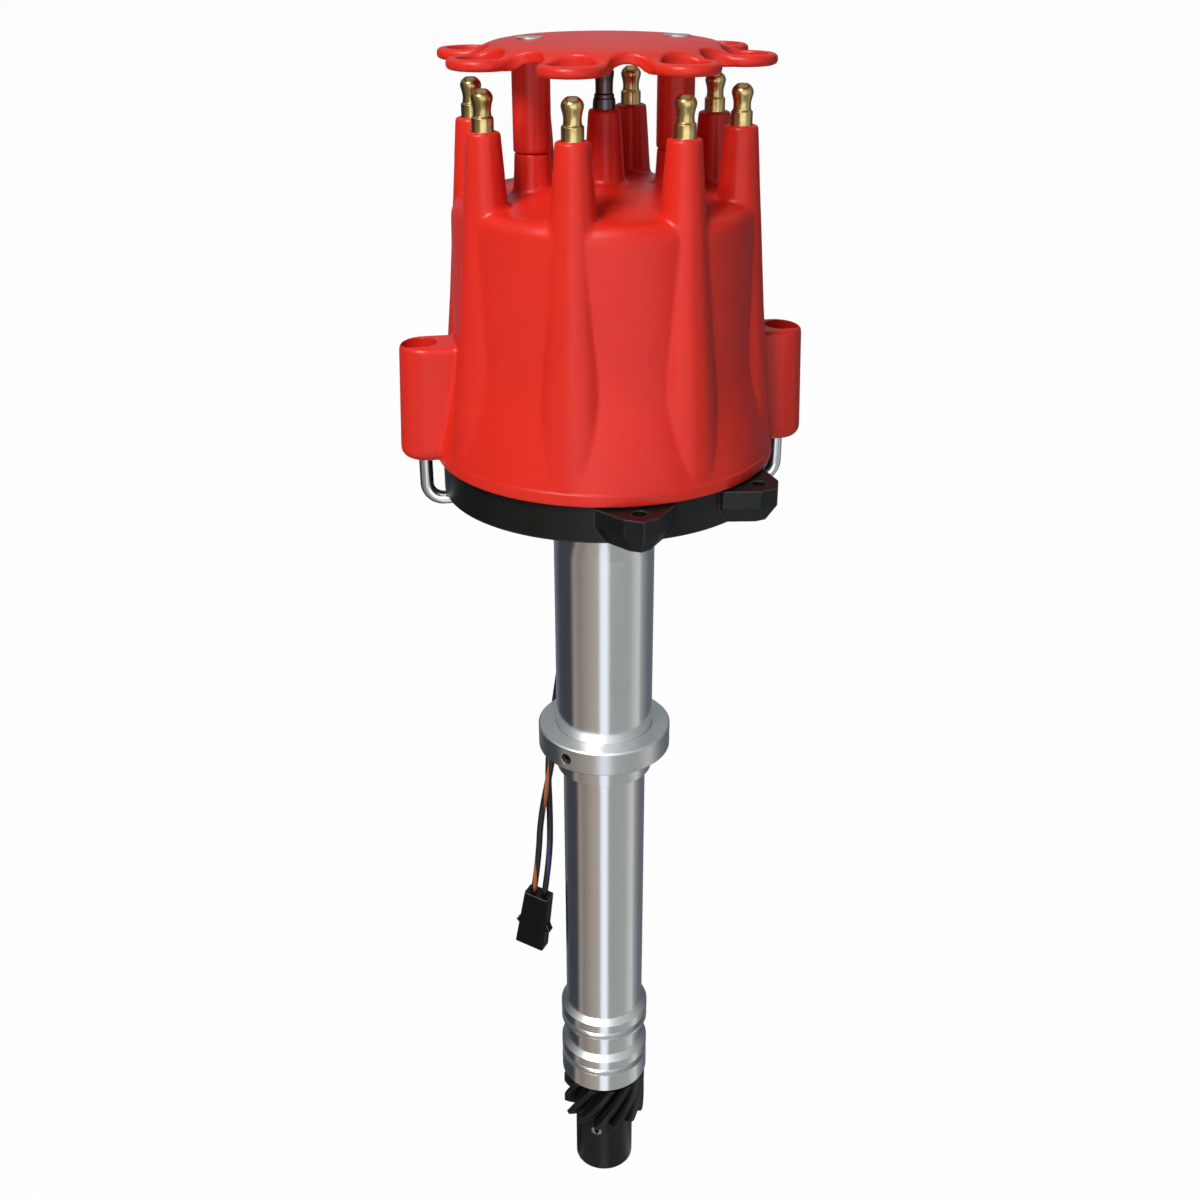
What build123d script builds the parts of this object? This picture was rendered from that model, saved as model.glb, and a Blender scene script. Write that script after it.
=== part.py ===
from build123d import *
import os
from math import asin, atan2, cos, degrees, pi, radians, sin, tan

# Ignition distributor for a V8 engine. Millimetres, +Z up.
# The origin is on the shaft's axis, in the plane where the slip collar sits on the engine.
# An azimuth of 0 faces the front (-Y), and 90 faces +X.

# Clearances
running_gap = 0.05        # a shaft or a sliding ring in its bore, on the radius
seat_gap = 0.02           # two still pieces, one inside the other, on the radius
face_gap = 0.3            # free room between pieces that move past each other
overlap = 1.0             # how far a piece's forms run into each other where they join

# Housing: one turned aluminium piece, bowl on top, long stem below
stem_r = 13.75
neck_r = 15.8
neck_low_z = -7.9
flare_r = 21.0            # concave flare under the bowl
flange_z = 93.9           # underside of the bowl
bowl_r = 44.6
bowl_wall = 4.0
bowl_floor = 4.1
bowl_depth = 3.6
land_r = 15.685           # ground lands that fit the engine block
land_groove_r = 13.7
land_groove = 2.8
land_pitch = 17.1         # from the lower land's top to the upper land's
upper_land_lip = 3.3
upper_land_end = 0.9
lower_land_height = 13.7
lower_land_lip = 3.6
land_chamfer = 1.9
housing_low_z = -141.6
stem_bore_r = 9.5

# Upper ball bearing and its snap ring
bearing_r = 14.27
bearing_width = 7.94
bearing_drop = 9.9        # its underside, below the bowl's floor
bearing_step = 2.07       # width of the shoulder that it stands on
ball_pitch_r = 10.1
ball_r = 2.0
ball_count = 9
race_gap = 1.2            # half of the gap between the races
seal_thick = 0.5
snap_ring_thick = 1.1
snap_ring_bite = 0.9
snap_ring_lap = 2.0       # on the outer race

# Lower bushing
bushing_length = 32.0

# Shaft and what turns with it
shaft_r = 6.35
shaft_shoulder_rise = 3.46   # above the bearing
spindle_r = 4.75
pump_slot_width = 4.8
pump_slot_depth = 7.0
washer_thick = 0.8
washer_r = 13.0
washer_count = 2

# Drive gear
gear_teeth = 13
gear_tip_r = 15.2
gear_root_r = 11.5
gear_root_hollow = 0.4
gear_helix = 35.0         # degrees, at the tip
gear_face = 18.7
gear_tip_share = 0.26     # a tooth's width as a share of the pitch, at its tip
gear_mid_share = 0.53
gear_root_share = 0.72
gear_hub_r = 10.73
gear_hub_length = 26.05
gear_hub_chamfer = 1.2
roll_pin_r = 2.0
roll_pin_bore_r = 1.0
roll_pin_split = 0.6
roll_pin_drop = 5.7       # below the teeth
roll_pin_azimuth = -26.5
roll_pin_inset = 0.3      # below the hub's surface

# Slip collar and its set screws
collar_r = 21.8
collar_height = 8.4
collar_chamfer = 0.5
set_screw_r = 1.9
set_screw_inset = 0.6
set_screw_socket = 1.0
set_screw_socket_depth = 2.0
set_screw_azimuths = (-45.0, 75.0, 195.0)

# Black base ring round the bowl
ring_wall = 3.9           # round the bowl
ring_height = 11.3
ring_flange = 3.5
ring_flange_lap = 0.6     # inwards past the bowl's wall
ring_lip = 2.5
ring_lip_wall = 1.7
ring_lip_gap = 0.12
ring_screw_count = 4
ring_screw_r = 1.5
ring_screw_head_r = 2.2
ring_screw_head = 1.4
ring_screw_inset = 2.5    # from the bowl's edge
ring_screw_start = 22.5
lug_azimuths = (0.0, 45.0, 180.0, 225.0)
lug_reach = 11.1          # beyond the ring
lug_point = 2.6           # height of its blunt point
lug_root_width = 22.6
lug_tip_width = 10.0
lug_height = 10.4
lug_drop = 0.8            # below the ring's top
lug_wall = 5.2            # upright part of its sides, above the slope
lug_slope = 31.0
lug_hole_r = 2.1
lug_hole_inset = 6.2      # from the lug's point

# Cap: red moulding
tower_count = 8
tower_start = -22.5
tower_inset = 5.1         # from the shoulder
tower_rise = 20.4         # above the shoulder
tower_top_r = 4.65
tower_slope = 0.075       # growth of the radius per mm going down
tower_foot_rise = 6.8     # above the ring
tower_bore_r = 3.2
tower_bore_depth = 6.0
tower_round = 0.7
cap_rim_overhang = 1.8    # outside the ring
cap_rim_height = 3.5
cap_rim_step = 0.35
cap_flare_in = 6.3
cap_flare_height = 30.3
cap_flare_soft = 40.0
cap_side_in = 1.15
cap_height = 73.4         # from the ring to the shoulder
cap_shoulder_round = 5.0
cap_roof_rise = 4.8
cap_wall = 3.3
cap_roof_wall = 3.6
boss_r = 4.1
boss_clear = 6.0          # above the rotor
ear_reach = 12.6          # beyond the ring
ear_width = 15.8
ear_drop = 2.4            # below the ring's top
ear_height = 34.2
ear_top_round = 1.3
ear_low_round = 2.6
ear_root = 12.0           # how far it runs into the cap
ear_wall = 2.0
ear_recess_r = 5.2
ear_recess_depth = 18.0
coil_tower_rise = 23.5    # above the shoulder
coil_tower_top_r = 4.4
coil_tower_base_r = 5.9
post_inset = 17.75        # inside the tower circle
post_rise = 10.9          # above the shoulder
post_r = 4.95
post_base_r = 5.5

# Terminals in the cap
terminal_rod_r = 2.4
terminal_rod_lap = 2.5    # below the rotor's top
terminal_height = 10.6
terminal_base_r = 3.1
terminal_waist_r = 2.3
terminal_bulb_r = 3.15
terminal_tip_r = 1.9
terminal_countersink = 1.0
coil_terminal_height = 10.2
button_r = 2.5
button_length = 9.0
button_gap = 0.6          # above the rotor's leaf
button_spring_r = 2.2
button_spring_wire_r = 0.4
button_spring_length = 9.6
button_spring_coils = 6
button_socket_r = 2.9
button_boss_r = 6.0
button_boss_lap = 3.0     # down round the button

# Wire retainer: red moulded plate on two legs
plate_gap = 4.6           # above the terminals
plate_disc_inset = 5.15   # inside the tower circle
plate_web = 2.5           # outwards from the disc, between the loops
plate_rise = 6.1
plate_rim_thick = 3.0
plate_wall = 3.2
plate_edge_drop = 1.5
plate_edge_run = 4.0
loop_r = 8.9
loop_hole_r = 6.3
scallop_bite = 0.05       # into the loops on each side
scallop_inset = 1.35      # inside the tower circle
leg_r = 5.25
retainer_screw_r = 1.9
retainer_screw_head_r = 3.6
retainer_screw_head = 2.0
retainer_screw_length = 24.0

# Spring latches in the ears
latch_rod_r = 2.0
latch_hook_round = 5.0
latch_hook_reach = 9.5
latch_head_r = 4.3
latch_head = 3.0
latch_slot = 1.1
latch_washer = 0.9
latch_washer_r = 4.5
latch_spring_r = 3.9
latch_spring_wire_r = 0.55
latch_spring_length = 9.5
latch_spring_coils = 7

# Advance mechanism: sleeve, base plate, weights and cam
sleeve_r = 8.0
sleeve_flange_r = 10.0
sleeve_flange = 1.6
sleeve_foot = 3.9         # from the shaft's shoulder to the reluctor
base_plate_r = 24.0
base_plate_gap = 3.1      # above the reluctor
base_plate_thick = 2.0
weight_pin_x, weight_pin_y = 17.0, -14.0
weight_pin_r = 2.5
weight_pin_pad_r = 6.0
weight_heel_r = 7.0
weight_toe_x, weight_toe_y = 17.0, 12.0
weight_toe_r = 9.0
weight_thick = 4.5
weight_cam_gap_r = 9.7
cam_r = 7.0
cam_arm_root_r = 5.0
cam_lobe_x, cam_lobe_y = 6.3, 2.5
cam_lobe_r = 2.3
cam_post_r = 1.2
stop_circle_r = 13.0
stop_pin_r = 1.5
stop_bushing_r = 2.4
stop_wall = 1.3
advance_angle = 10.5      # degrees that the stop allows
clip_r = 5.4
clip_thick = 0.8
clip_groove = 0.8
spindle_stub = 0.6        # spindle above its clip
spring_coil_r = 1.9
spring_wire_r = 0.45
spring_coils = 9
reluctor_teeth = 8
reluctor_r = 19.0
reluctor_root_r = 14.0
reluctor_tooth = 3.2
reluctor_height = 4.0

# Rotor
rotor_azimuth = -22.5
rotor_foot_height = 10.1
rotor_base_r = 31.0
rotor_base_thick = 4.0
rotor_foot_r = 5.0
rotor_foot_circle_r = 24.0
rotor_foot_pad = 1.0      # rim of the plate's pad round the foot
rotor_hub_r = 12.0
rotor_hub_top_r = 8.5
rotor_hub_height = 19.4
rotor_spindle_room = 3.0
rotor_spindle_recess = 1.5
rotor_arm_width = 10.0
rotor_arm_drop = 7.0
rotor_arm_inset = 3.0     # from the edge of the base
rotor_contact_thick = 1.2
rotor_contact_width = 7.0
rotor_contact_overhang = 4.45
rotor_spark_gap = 0.9
rotor_leaf_rise = 5.6
rotor_leaf_half = 2.0
rotor_leaf_thick = 0.8
rotor_screw_r = 1.75
rotor_screw_head_r = 3.3
rotor_screw_head = 1.9

# Magnetic pickup in the bowl and the grommet behind it
pickup_azimuth = -166.3
pickup_gap = 0.7
pickup_width = 15.0
pickup_height = 9.2
pickup_round = 1.5
pickup_inner_r = 23.5
pickup_wall_gap = 4.6     # to the bowl's wall
pickup_seat_gap = 0.1
pickup_pole_width = 3.6
bracket_thick = 1.3
bracket_half_angle = 40.0
bracket_inner_r = 20.5
bracket_outer_r = 31.0
bracket_screw_spread = 30.0
bracket_screw_inset = 3.5
bracket_screw_r = 1.5
bracket_screw_head_r = 2.7
bracket_screw_head = 1.5
grommet_inset = 5.5       # from the pickup's outer face
grommet_r = 3.6
grommet_flange_r = 4.6
grommet_flange = 1.2
spot_face_drop = 0.9      # below the bowl's underside
spot_face_r = 5.1

# Pickup lead
wire_r = 1.15
wire_spacing = 3.1
wire_last_run = 16.0      # straight into the connector
arc_share = 0.45          # of the shorter run, for each bend
connector_pitch = 4.3
connector_entry = (-20.5, 21.7, -76.7)
connector_turn = -34.5
connector_lean = 8.5
connector_width = 11.4
connector_top_width = 9.6
connector_thick = 5.8
connector_round = 0.8
connector_length = 24.0
connector_wall = 1.1
connector_side_wall = 1.4
connector_socket_depth = 9.0
connector_latch_drop = 14.5
connector_latch = 1.7
connector_latch_rise = 2.4
connector_latch_foot = 2.0
connector_latch_lip = 0.6
connector_pin_r = 0.65
connector_pin_inset = 2.0
connector_pin_cover = 3.5

# Heights and radii that follow from the sizes above
floor_z = flange_z + bowl_floor
bowl_top_z = floor_z + bowl_depth
bowl_bore_r = bowl_r - bowl_wall
neck_top_z = flange_z - flare_r
flare_outer_r = neck_r + flare_r
lower_land_z = housing_low_z + lower_land_height
upper_land_z = lower_land_z + land_pitch
ring_r = bowl_r + ring_wall
ring_top_z = flange_z + ring_height
ring_screw_circle_r = bowl_r - ring_screw_inset
lug_tip_r = ring_r + lug_reach
lug_hole_circle_r = lug_tip_r - lug_hole_inset
bearing_low_z = floor_z - bearing_drop
bearing_top_z = bearing_low_z + bearing_width
washer_step = washer_thick + running_gap
gear_top_z = housing_low_z - washer_count * washer_step - running_gap
gear_face_z = gear_top_z - gear_face
shaft_low_z = gear_face_z - gear_hub_length
roll_pin_z = gear_face_z - roll_pin_drop
shaft_shoulder_z = bearing_top_z + shaft_shoulder_rise
reluctor_z = shaft_shoulder_z + sleeve_foot
base_plate_z = reluctor_z + reluctor_height + base_plate_gap
base_plate_top_z = base_plate_z + base_plate_thick
weight_z = base_plate_top_z + face_gap
weight_top_z = weight_z + weight_thick
spring_z = weight_top_z + face_gap + spring_coil_r
post_pin_top_z = spring_z + spring_coil_r / 2
rotor_base_z = base_plate_top_z + rotor_foot_height
rotor_base_top_z = rotor_base_z + rotor_base_thick
rotor_top_z = rotor_base_top_z + rotor_hub_height
cap_rim_r = ring_r + cap_rim_overhang
cap_flare_top_r = cap_rim_r - cap_flare_in
cap_flare_top_z = ring_top_z + cap_flare_height
cap_shoulder_r = cap_flare_top_r - cap_side_in
cap_shoulder_z = ring_top_z + cap_height
cap_roof_z = cap_shoulder_z + cap_roof_rise
boss_low_z = rotor_top_z + boss_clear
tower_circle_r = cap_shoulder_r - tower_inset
tower_pitch_half = tower_circle_r * sin(pi / tower_count)
tower_top_z = cap_shoulder_z + tower_rise
tower_low_z = ring_top_z + tower_foot_rise
tower_azimuths = [tower_start + i * 360 / tower_count for i in range(tower_count)]
coil_tower_top_z = cap_shoulder_z + coil_tower_rise
post_circle_r = tower_circle_r - post_inset
post_top_z = cap_shoulder_z + post_rise
terminal_rod_low_z = rotor_top_z - terminal_rod_lap
button_low_z = rotor_top_z + rotor_contact_thick + rotor_leaf_rise + button_gap
button_top_z = button_low_z + button_length
coil_rod_low_z = button_top_z + button_spring_length
plate_disc_r = tower_circle_r - plate_disc_inset
scallop_r = tower_pitch_half - loop_r + scallop_bite
plate_low_z = tower_top_z + terminal_height + plate_gap
plate_crown_z = plate_low_z + plate_rise
ear_tip_r = ring_r + ear_reach
ear_low_z = ring_top_z - ear_drop
ear_top_z = ear_low_z + ear_height
latch_circle_r = ear_tip_r - ear_recess_r - ear_wall
latch_shelf_z = ear_top_z - ear_recess_depth
latch_washer_z = latch_shelf_z + latch_spring_length
latch_head_z = latch_washer_z + latch_washer
hook_top_z = flange_z - face_gap
pickup_outer_r = bowl_bore_r - pickup_wall_gap
bracket_screw_circle_r = bracket_outer_r - bracket_screw_inset
pickup_low_z = floor_z + bracket_thick + pickup_seat_gap
grommet_circle_r = pickup_outer_r - grommet_inset
spot_face_z = flange_z - spot_face_drop
UP = (Align.CENTER, Align.CENTER, Align.MIN)

os.makedirs("parts", exist_ok=True)


def node(name, *shapes):
    """Write one piece, or a group of like pieces, to a file of its own."""
    solids = [solid for shape in shapes for solid in shape.solids()]
    piece = solids[0] if len(solids) == 1 else Compound(solids)
    piece.label = name
    export_step(piece, f"parts/{name}.step")


def place(radius, azimuth, z=0.0):
    """The point at a radius and an azimuth."""
    return Vector(radius * sin(radians(azimuth)), -radius * cos(radians(azimuth)), z)


def bar(radius, low_z, high_z, bore=0.0, at=(0, 0)):
    """Upright round bar or tube between two heights."""
    foot = Pos(at[0], at[1], low_z)
    solid = foot * Cylinder(radius, high_z - low_z, align=UP)
    return solid - foot * Cylinder(bore, high_z - low_z, align=UP) if bore else solid


def taper(low_r, high_r, low_z, high_z, at=(0, 0)):
    """Upright cone between two heights."""
    return Pos(at[0], at[1], low_z) * Cone(low_r, high_r, high_z - low_z, align=UP)


def turned(*points):
    """Solid turned about the Z axis from (radius, height) points."""
    return revolve(Plane.XZ * make_face(Polyline(*points, close=True)), Axis.Z)


def round_edges(solid, radius, z):
    """The full round edges of a solid at one radius and height about Z."""
    return [edge for edge in solid.edges().filter_by(GeomType.CIRCLE)
            if abs(edge.radius - radius) < 0.01 and abs(edge.arc_center.Z - z) < 0.01]


def spread(shape, azimuths):
    """Copies of a shape modelled at the front, turned to each azimuth."""
    return [Rot(0, 0, azimuth) * shape for azimuth in azimuths]


def screw(shank_r, head_r, head, length, head_z):
    """Pan-head screw that points down, with its head's underside at head_z."""
    slot = Pos(0, 0, head_z + head) * Box(2 * head_r + 1, head_r / 4, head * 0.8)
    return bar(shank_r, head_z - length, head_z) + bar(head_r, head_z, head_z + head) - slot


# Housing: bowl, flare, neck, stem and the two grooved lands
def land(top_z, lip, end_z):
    """Solid of one land: chamfer, lip, groove for a seal, end."""
    groove_z = top_z - lip
    return turned((0, top_z + land_chamfer), (stem_r, top_z + land_chamfer), (land_r, top_z),
                  (land_r, groove_z), (land_groove_r, groove_z),
                  (land_groove_r, groove_z - land_groove), (land_r, groove_z - land_groove),
                  (land_r, end_z), (0, end_z))


upper_land_low_z = upper_land_z - upper_land_lip - land_groove - upper_land_end
flare = make_face([
    Line((0, neck_top_z), (neck_r, neck_top_z)),
    CenterArc((flare_outer_r, neck_top_z), flare_r, 90, 90),
    Line((flare_outer_r, flange_z), (0, flange_z)),
    Line((0, flange_z), (0, neck_top_z)),
])
housing = bar(stem_r, housing_low_z, neck_low_z) + bar(neck_r, neck_low_z, neck_top_z)
housing += revolve(Plane.XZ * flare, Axis.Z)
housing += bar(bowl_r, flange_z, bowl_top_z)
housing += land(upper_land_z, upper_land_lip, upper_land_low_z)
housing += land(lower_land_z, lower_land_lip, housing_low_z)
housing -= bar(bowl_bore_r, floor_z, bowl_top_z)
housing -= bar(stem_bore_r, housing_low_z, bearing_low_z)
housing -= bar(bearing_r - bearing_step, bearing_low_z - bearing_width, bearing_low_z)
housing -= bar(bearing_r + seat_gap, bearing_low_z, floor_z)
housing -= bar(bearing_r + snap_ring_bite, bearing_top_z + seat_gap,
               bearing_top_z + snap_ring_thick + 2 * seat_gap)
exit_at = place(grommet_circle_r, pickup_azimuth)
housing -= bar(spot_face_r, neck_top_z, spot_face_z, at=(exit_at.X, exit_at.Y))
housing -= bar(grommet_r + seat_gap, spot_face_z, floor_z, at=(exit_at.X, exit_at.Y))
ring_screw_azimuths = [ring_screw_start + i * 360 / ring_screw_count for i in range(ring_screw_count)]
ring_screw_at = place(ring_screw_circle_r, 0)
ring_screw_length = bowl_depth + ring_flange
ring_screw_hole = bar(ring_screw_r + seat_gap, floor_z, ring_top_z, at=(ring_screw_at.X, ring_screw_at.Y))
for hole in spread(ring_screw_hole, ring_screw_azimuths):
    housing -= hole
bracket_screw_at = place(bracket_screw_circle_r, 0)
bracket_screw_azimuths = [pickup_azimuth + side * bracket_screw_spread for side in (-1, 1)]
bracket_screw_hole = bar(bracket_screw_r + seat_gap, flange_z + overlap, floor_z + bracket_thick,
                         at=(bracket_screw_at.X, bracket_screw_at.Y))
for hole in spread(bracket_screw_hole, bracket_screw_azimuths):
    housing -= hole
node("housing", housing)

# Upper ball bearing: races with ball grooves, balls, seals, snap ring
ball_z = bearing_low_z + bearing_width / 2
ball_track = Pos(0, 0, ball_z) * Torus(ball_pitch_r, ball_r + running_gap)
outer_race_bore = ball_pitch_r + race_gap
inner_race_r = ball_pitch_r - race_gap
node("upper_bearing_outer_race",
     bar(bearing_r, bearing_low_z, bearing_top_z, outer_race_bore) - ball_track)
node("upper_bearing_inner_race",
     bar(inner_race_r, bearing_low_z, bearing_top_z, shaft_r + seat_gap) - ball_track)
ball = Pos(*place(ball_pitch_r, 0, ball_z)) * Sphere(ball_r)
node("upper_bearing_balls", *spread(ball, [i * 360 / ball_count for i in range(ball_count)]))
seal_r = outer_race_bore - seat_gap
seal_bore = inner_race_r + running_gap
node("upper_bearing_seals",
     bar(seal_r, bearing_low_z, bearing_low_z + seal_thick, seal_bore),
     bar(seal_r, bearing_top_z - seal_thick, bearing_top_z, seal_bore))
snap_ring = bar(bearing_r + snap_ring_bite - seat_gap, bearing_top_z + seat_gap,
                bearing_top_z + seat_gap + snap_ring_thick, bearing_r - snap_ring_lap)
snap_ring -= Pos(0, -bearing_r, bearing_top_z) * Box(bearing_r / 2, bearing_r, 4 * snap_ring_thick)
node("bearing_snap_ring", snap_ring)

# Lower bushing, pressed into the stem
node("lower_bushing", bar(stem_bore_r - seat_gap, housing_low_z, housing_low_z + bushing_length,
                          shaft_r + running_gap))

# Base ring: skirt, inner flange, locating lip for the cap, four faceted lugs
ring = bar(ring_r, flange_z, ring_top_z, bowl_r + seat_gap)
ring += bar(bowl_r + overlap, bowl_top_z, ring_top_z, bowl_bore_r - ring_flange_lap)
lip_r = cap_rim_r - cap_rim_step - cap_wall - ring_lip_gap
ring += bar(lip_r, ring_top_z, ring_top_z + ring_lip, lip_r - ring_lip_wall)
lug_top_z = ring_top_z - lug_drop
lug_low_z = lug_top_z - lug_height
lug_corner_r = lug_tip_r - lug_point
lug_plan = make_face(Polyline(
    (-lug_root_width / 2, -bowl_r / 2), (-lug_root_width / 2, -bowl_r - ring_wall),
    (-lug_tip_width / 2, -lug_corner_r), (0, -lug_tip_r), (lug_tip_width / 2, -lug_corner_r),
    (lug_root_width / 2, -bowl_r - ring_wall), (lug_root_width / 2, -bowl_r / 2), close=True))
lug = Pos(0, 0, lug_top_z) * extrude(lug_plan, -lug_wall)
lug += Pos(0, 0, lug_top_z - lug_wall) * extrude(lug_plan, lug_wall - lug_height, taper=lug_slope)
lug -= bar(bowl_r + ring_wall / 2, lug_low_z, ring_top_z)
lug_hole_at = place(lug_hole_circle_r, 0)
lug -= bar(lug_hole_r, lug_low_z, lug_top_z, at=(lug_hole_at.X, lug_hole_at.Y))
for copy in spread(lug, lug_azimuths):
    ring += copy
for hole in spread(ring_screw_hole, ring_screw_azimuths):
    ring -= hole
node("base_ring", ring)
ring_screw = Pos(ring_screw_at.X, ring_screw_at.Y, 0) * screw(
    ring_screw_r, ring_screw_head_r, ring_screw_head, ring_screw_length, ring_top_z)
node("base_ring_screws", *spread(ring_screw, ring_screw_azimuths))


# Cap: turned body, eight towers that run down into fins, ears, posts
def cap_body(offset, roof_offset, low_z):
    """The cap's turned outside, or its inside when given the wall's thickness."""
    rim_z = ring_top_z + cap_rim_height
    rim_r = cap_rim_r - cap_rim_step - offset
    flare_r_in = cap_flare_top_r - offset
    shoulder_r = cap_shoulder_r - offset
    shoulder_z = cap_shoulder_z - roof_offset
    body = turned((0, low_z), (rim_r, low_z), (rim_r, rim_z), (flare_r_in, cap_flare_top_z),
                  (shoulder_r, shoulder_z), (0, shoulder_z + cap_roof_rise))
    body = fillet(round_edges(body, flare_r_in, cap_flare_top_z), cap_flare_soft)
    return fillet(round_edges(body, shoulder_r, shoulder_z), cap_shoulder_round - offset / 2)


def ear():
    """One ear at the front: an upright lobe with a deep recess for the latch."""
    half = ear_width / 2
    plan = make_face([
        Line((-half, -ring_r + ear_root), (-half, -ear_tip_r + half)),
        CenterArc((0, -ear_tip_r + half), half, 180, 180),
        Line((half, -ear_tip_r + half), (half, -ring_r + ear_root)),
        Line((half, -ring_r + ear_root), (-half, -ring_r + ear_root)),
    ])
    lobe = Pos(0, 0, ear_low_z) * extrude(plan, ear_top_z - ear_low_z)
    outer = [edge for edge in lobe.edges() if edge.center().Y < -ring_r + ear_root - overlap]
    top = [edge for edge in outer if edge.center().Z > ear_top_z - seat_gap]
    lobe = fillet(top, ear_top_round)
    low = [edge for edge in lobe.edges()
           if edge.center().Z < ear_low_z + seat_gap and edge.center().Y < -ring_r + ear_root - overlap]
    lobe = fillet(low, ear_low_round)
    return lobe - bar(ring_r + face_gap, ear_low_z, ring_top_z)


tower_at = place(tower_circle_r, 0)
tower_low_r = tower_top_r + tower_slope * (tower_top_z - tower_low_z)
tower = taper(tower_low_r, tower_top_r, tower_low_z, tower_top_z)
tower = fillet(round_edges(tower, tower_top_r, tower_top_z), tower_round)
tower = Pos(tower_at.X, tower_at.Y, 0) * tower
post = taper(post_base_r, post_r, cap_shoulder_z, post_top_z)
coil_tower = taper(coil_tower_base_r, coil_tower_top_r, cap_shoulder_z, coil_tower_top_z)
coil_tower = fillet(round_edges(coil_tower, coil_tower_top_r, coil_tower_top_z), tower_round)

cap = cap_body(0, 0, ring_top_z)
cap += bar(cap_rim_r, ring_top_z, ring_top_z + cap_rim_height)
for copy in spread(tower, tower_azimuths):
    cap += copy
for copy in spread(ear(), (-90, 90)):
    cap += copy
for side in (-1, 1):
    cap += Pos(side * post_circle_r, 0, 0) * post
cap += coil_tower
cap -= cap_body(cap_wall, cap_roof_wall, ring_top_z)
boss = bar(boss_r, boss_low_z, cap_shoulder_z, at=(tower_at.X, tower_at.Y))
boss_limit = cap_body(cap_wall / 2, cap_roof_wall / 2, ring_top_z)
for copy in spread(boss & boss_limit, tower_azimuths):
    cap += copy
button_boss_low_z = button_top_z - button_boss_lap
cap += bar(button_boss_r, button_boss_low_z, cap_roof_z - cap_roof_wall / 2)
rod_hole = bar(terminal_rod_r + seat_gap, boss_low_z, tower_top_z, at=(tower_at.X, tower_at.Y))
rod_hole += bar(tower_bore_r, tower_top_z - tower_bore_depth, tower_top_z, at=(tower_at.X, tower_at.Y))
for hole in spread(rod_hole, tower_azimuths):
    cap -= hole
cap -= bar(terminal_rod_r + seat_gap, coil_rod_low_z, coil_tower_top_z)
cap -= bar(tower_bore_r, coil_tower_top_z - tower_bore_depth, coil_tower_top_z)
cap -= bar(button_socket_r, button_boss_low_z, coil_rod_low_z)
for side in (-1, 1):
    cap -= bar(ear_recess_r, latch_shelf_z, ear_top_z, at=(side * latch_circle_r, 0))
    cap -= bar(latch_rod_r + face_gap, ear_low_z, latch_shelf_z, at=(side * latch_circle_r, 0))
    cap -= bar(retainer_screw_r + seat_gap, post_top_z - retainer_screw_length / 2, post_top_z,
               at=(side * post_circle_r, 0))
node("cap", cap)


# Terminals, carbon button and its spring
def terminal(top_z, height, rod_low_z):
    """Turned terminal: rod in the tower, seat in its bore, waist and snap-on bulb above."""
    seat_z = top_z - tower_bore_depth
    seat_r = tower_bore_r - seat_gap
    waist_low_z, waist_z = top_z + height * 0.27, top_z + height * 0.41
    bulb_z, shoulder_z, tip_z = top_z + height * 0.55, top_z + height * 0.76, top_z + height
    stem = Polyline((0, tip_z), (0, rod_low_z), (terminal_rod_r, rod_low_z), (terminal_rod_r, seat_z),
                    (seat_r, seat_z), (seat_r, top_z - terminal_countersink),
                    (terminal_base_r, top_z - terminal_countersink / 2), (terminal_base_r, waist_low_z))
    waist = ThreePointArc((terminal_base_r, waist_low_z), (terminal_waist_r, waist_z),
                          (terminal_bulb_r, bulb_z))
    bulb = Line((terminal_bulb_r, bulb_z), (terminal_bulb_r, shoulder_z))
    nose_r = terminal_bulb_r * 0.7 + terminal_tip_r * 0.3
    nose = ThreePointArc((terminal_bulb_r, shoulder_z), (nose_r, top_z + height * 0.9),
                         (terminal_tip_r, tip_z))
    tip = Line((terminal_tip_r, tip_z), (0, tip_z))
    return revolve(Plane.XZ * make_face([stem, waist, bulb, nose, tip]), Axis.Z)


spark_terminal = terminal(tower_top_z, terminal_height, terminal_rod_low_z)
for number, azimuth in enumerate(tower_azimuths, start=1):
    at = place(tower_circle_r, azimuth)
    node(f"spark_terminal_{number}", Pos(at.X, at.Y, 0) * spark_terminal)
node("coil_terminal", terminal(coil_tower_top_z, coil_terminal_height, coil_rod_low_z))
carbon_button = bar(button_r, button_low_z, button_top_z)
node("carbon_button", fillet(round_edges(carbon_button, button_r, button_low_z), button_r * 0.6))


def coil_spring(low_z, high_z, coil_r, wire_r, turns):
    """Closed-end spring drawn as a tube with one rounded ridge for each turn."""
    pitch = (high_z - low_z) / turns
    points = []
    for turn in range(turns):
        z = low_z + turn * pitch
        points += [(coil_r - wire_r / 2, z), (coil_r, z + pitch * 0.3), (coil_r, z + pitch * 0.7)]
    points += [(coil_r - wire_r / 2, high_z), (coil_r - 2 * wire_r, high_z), (coil_r - 2 * wire_r, low_z)]
    return turned(*points)


node("button_spring", coil_spring(button_top_z, coil_rod_low_z, button_spring_r, button_spring_wire_r,
                                  button_spring_coils))

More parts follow.
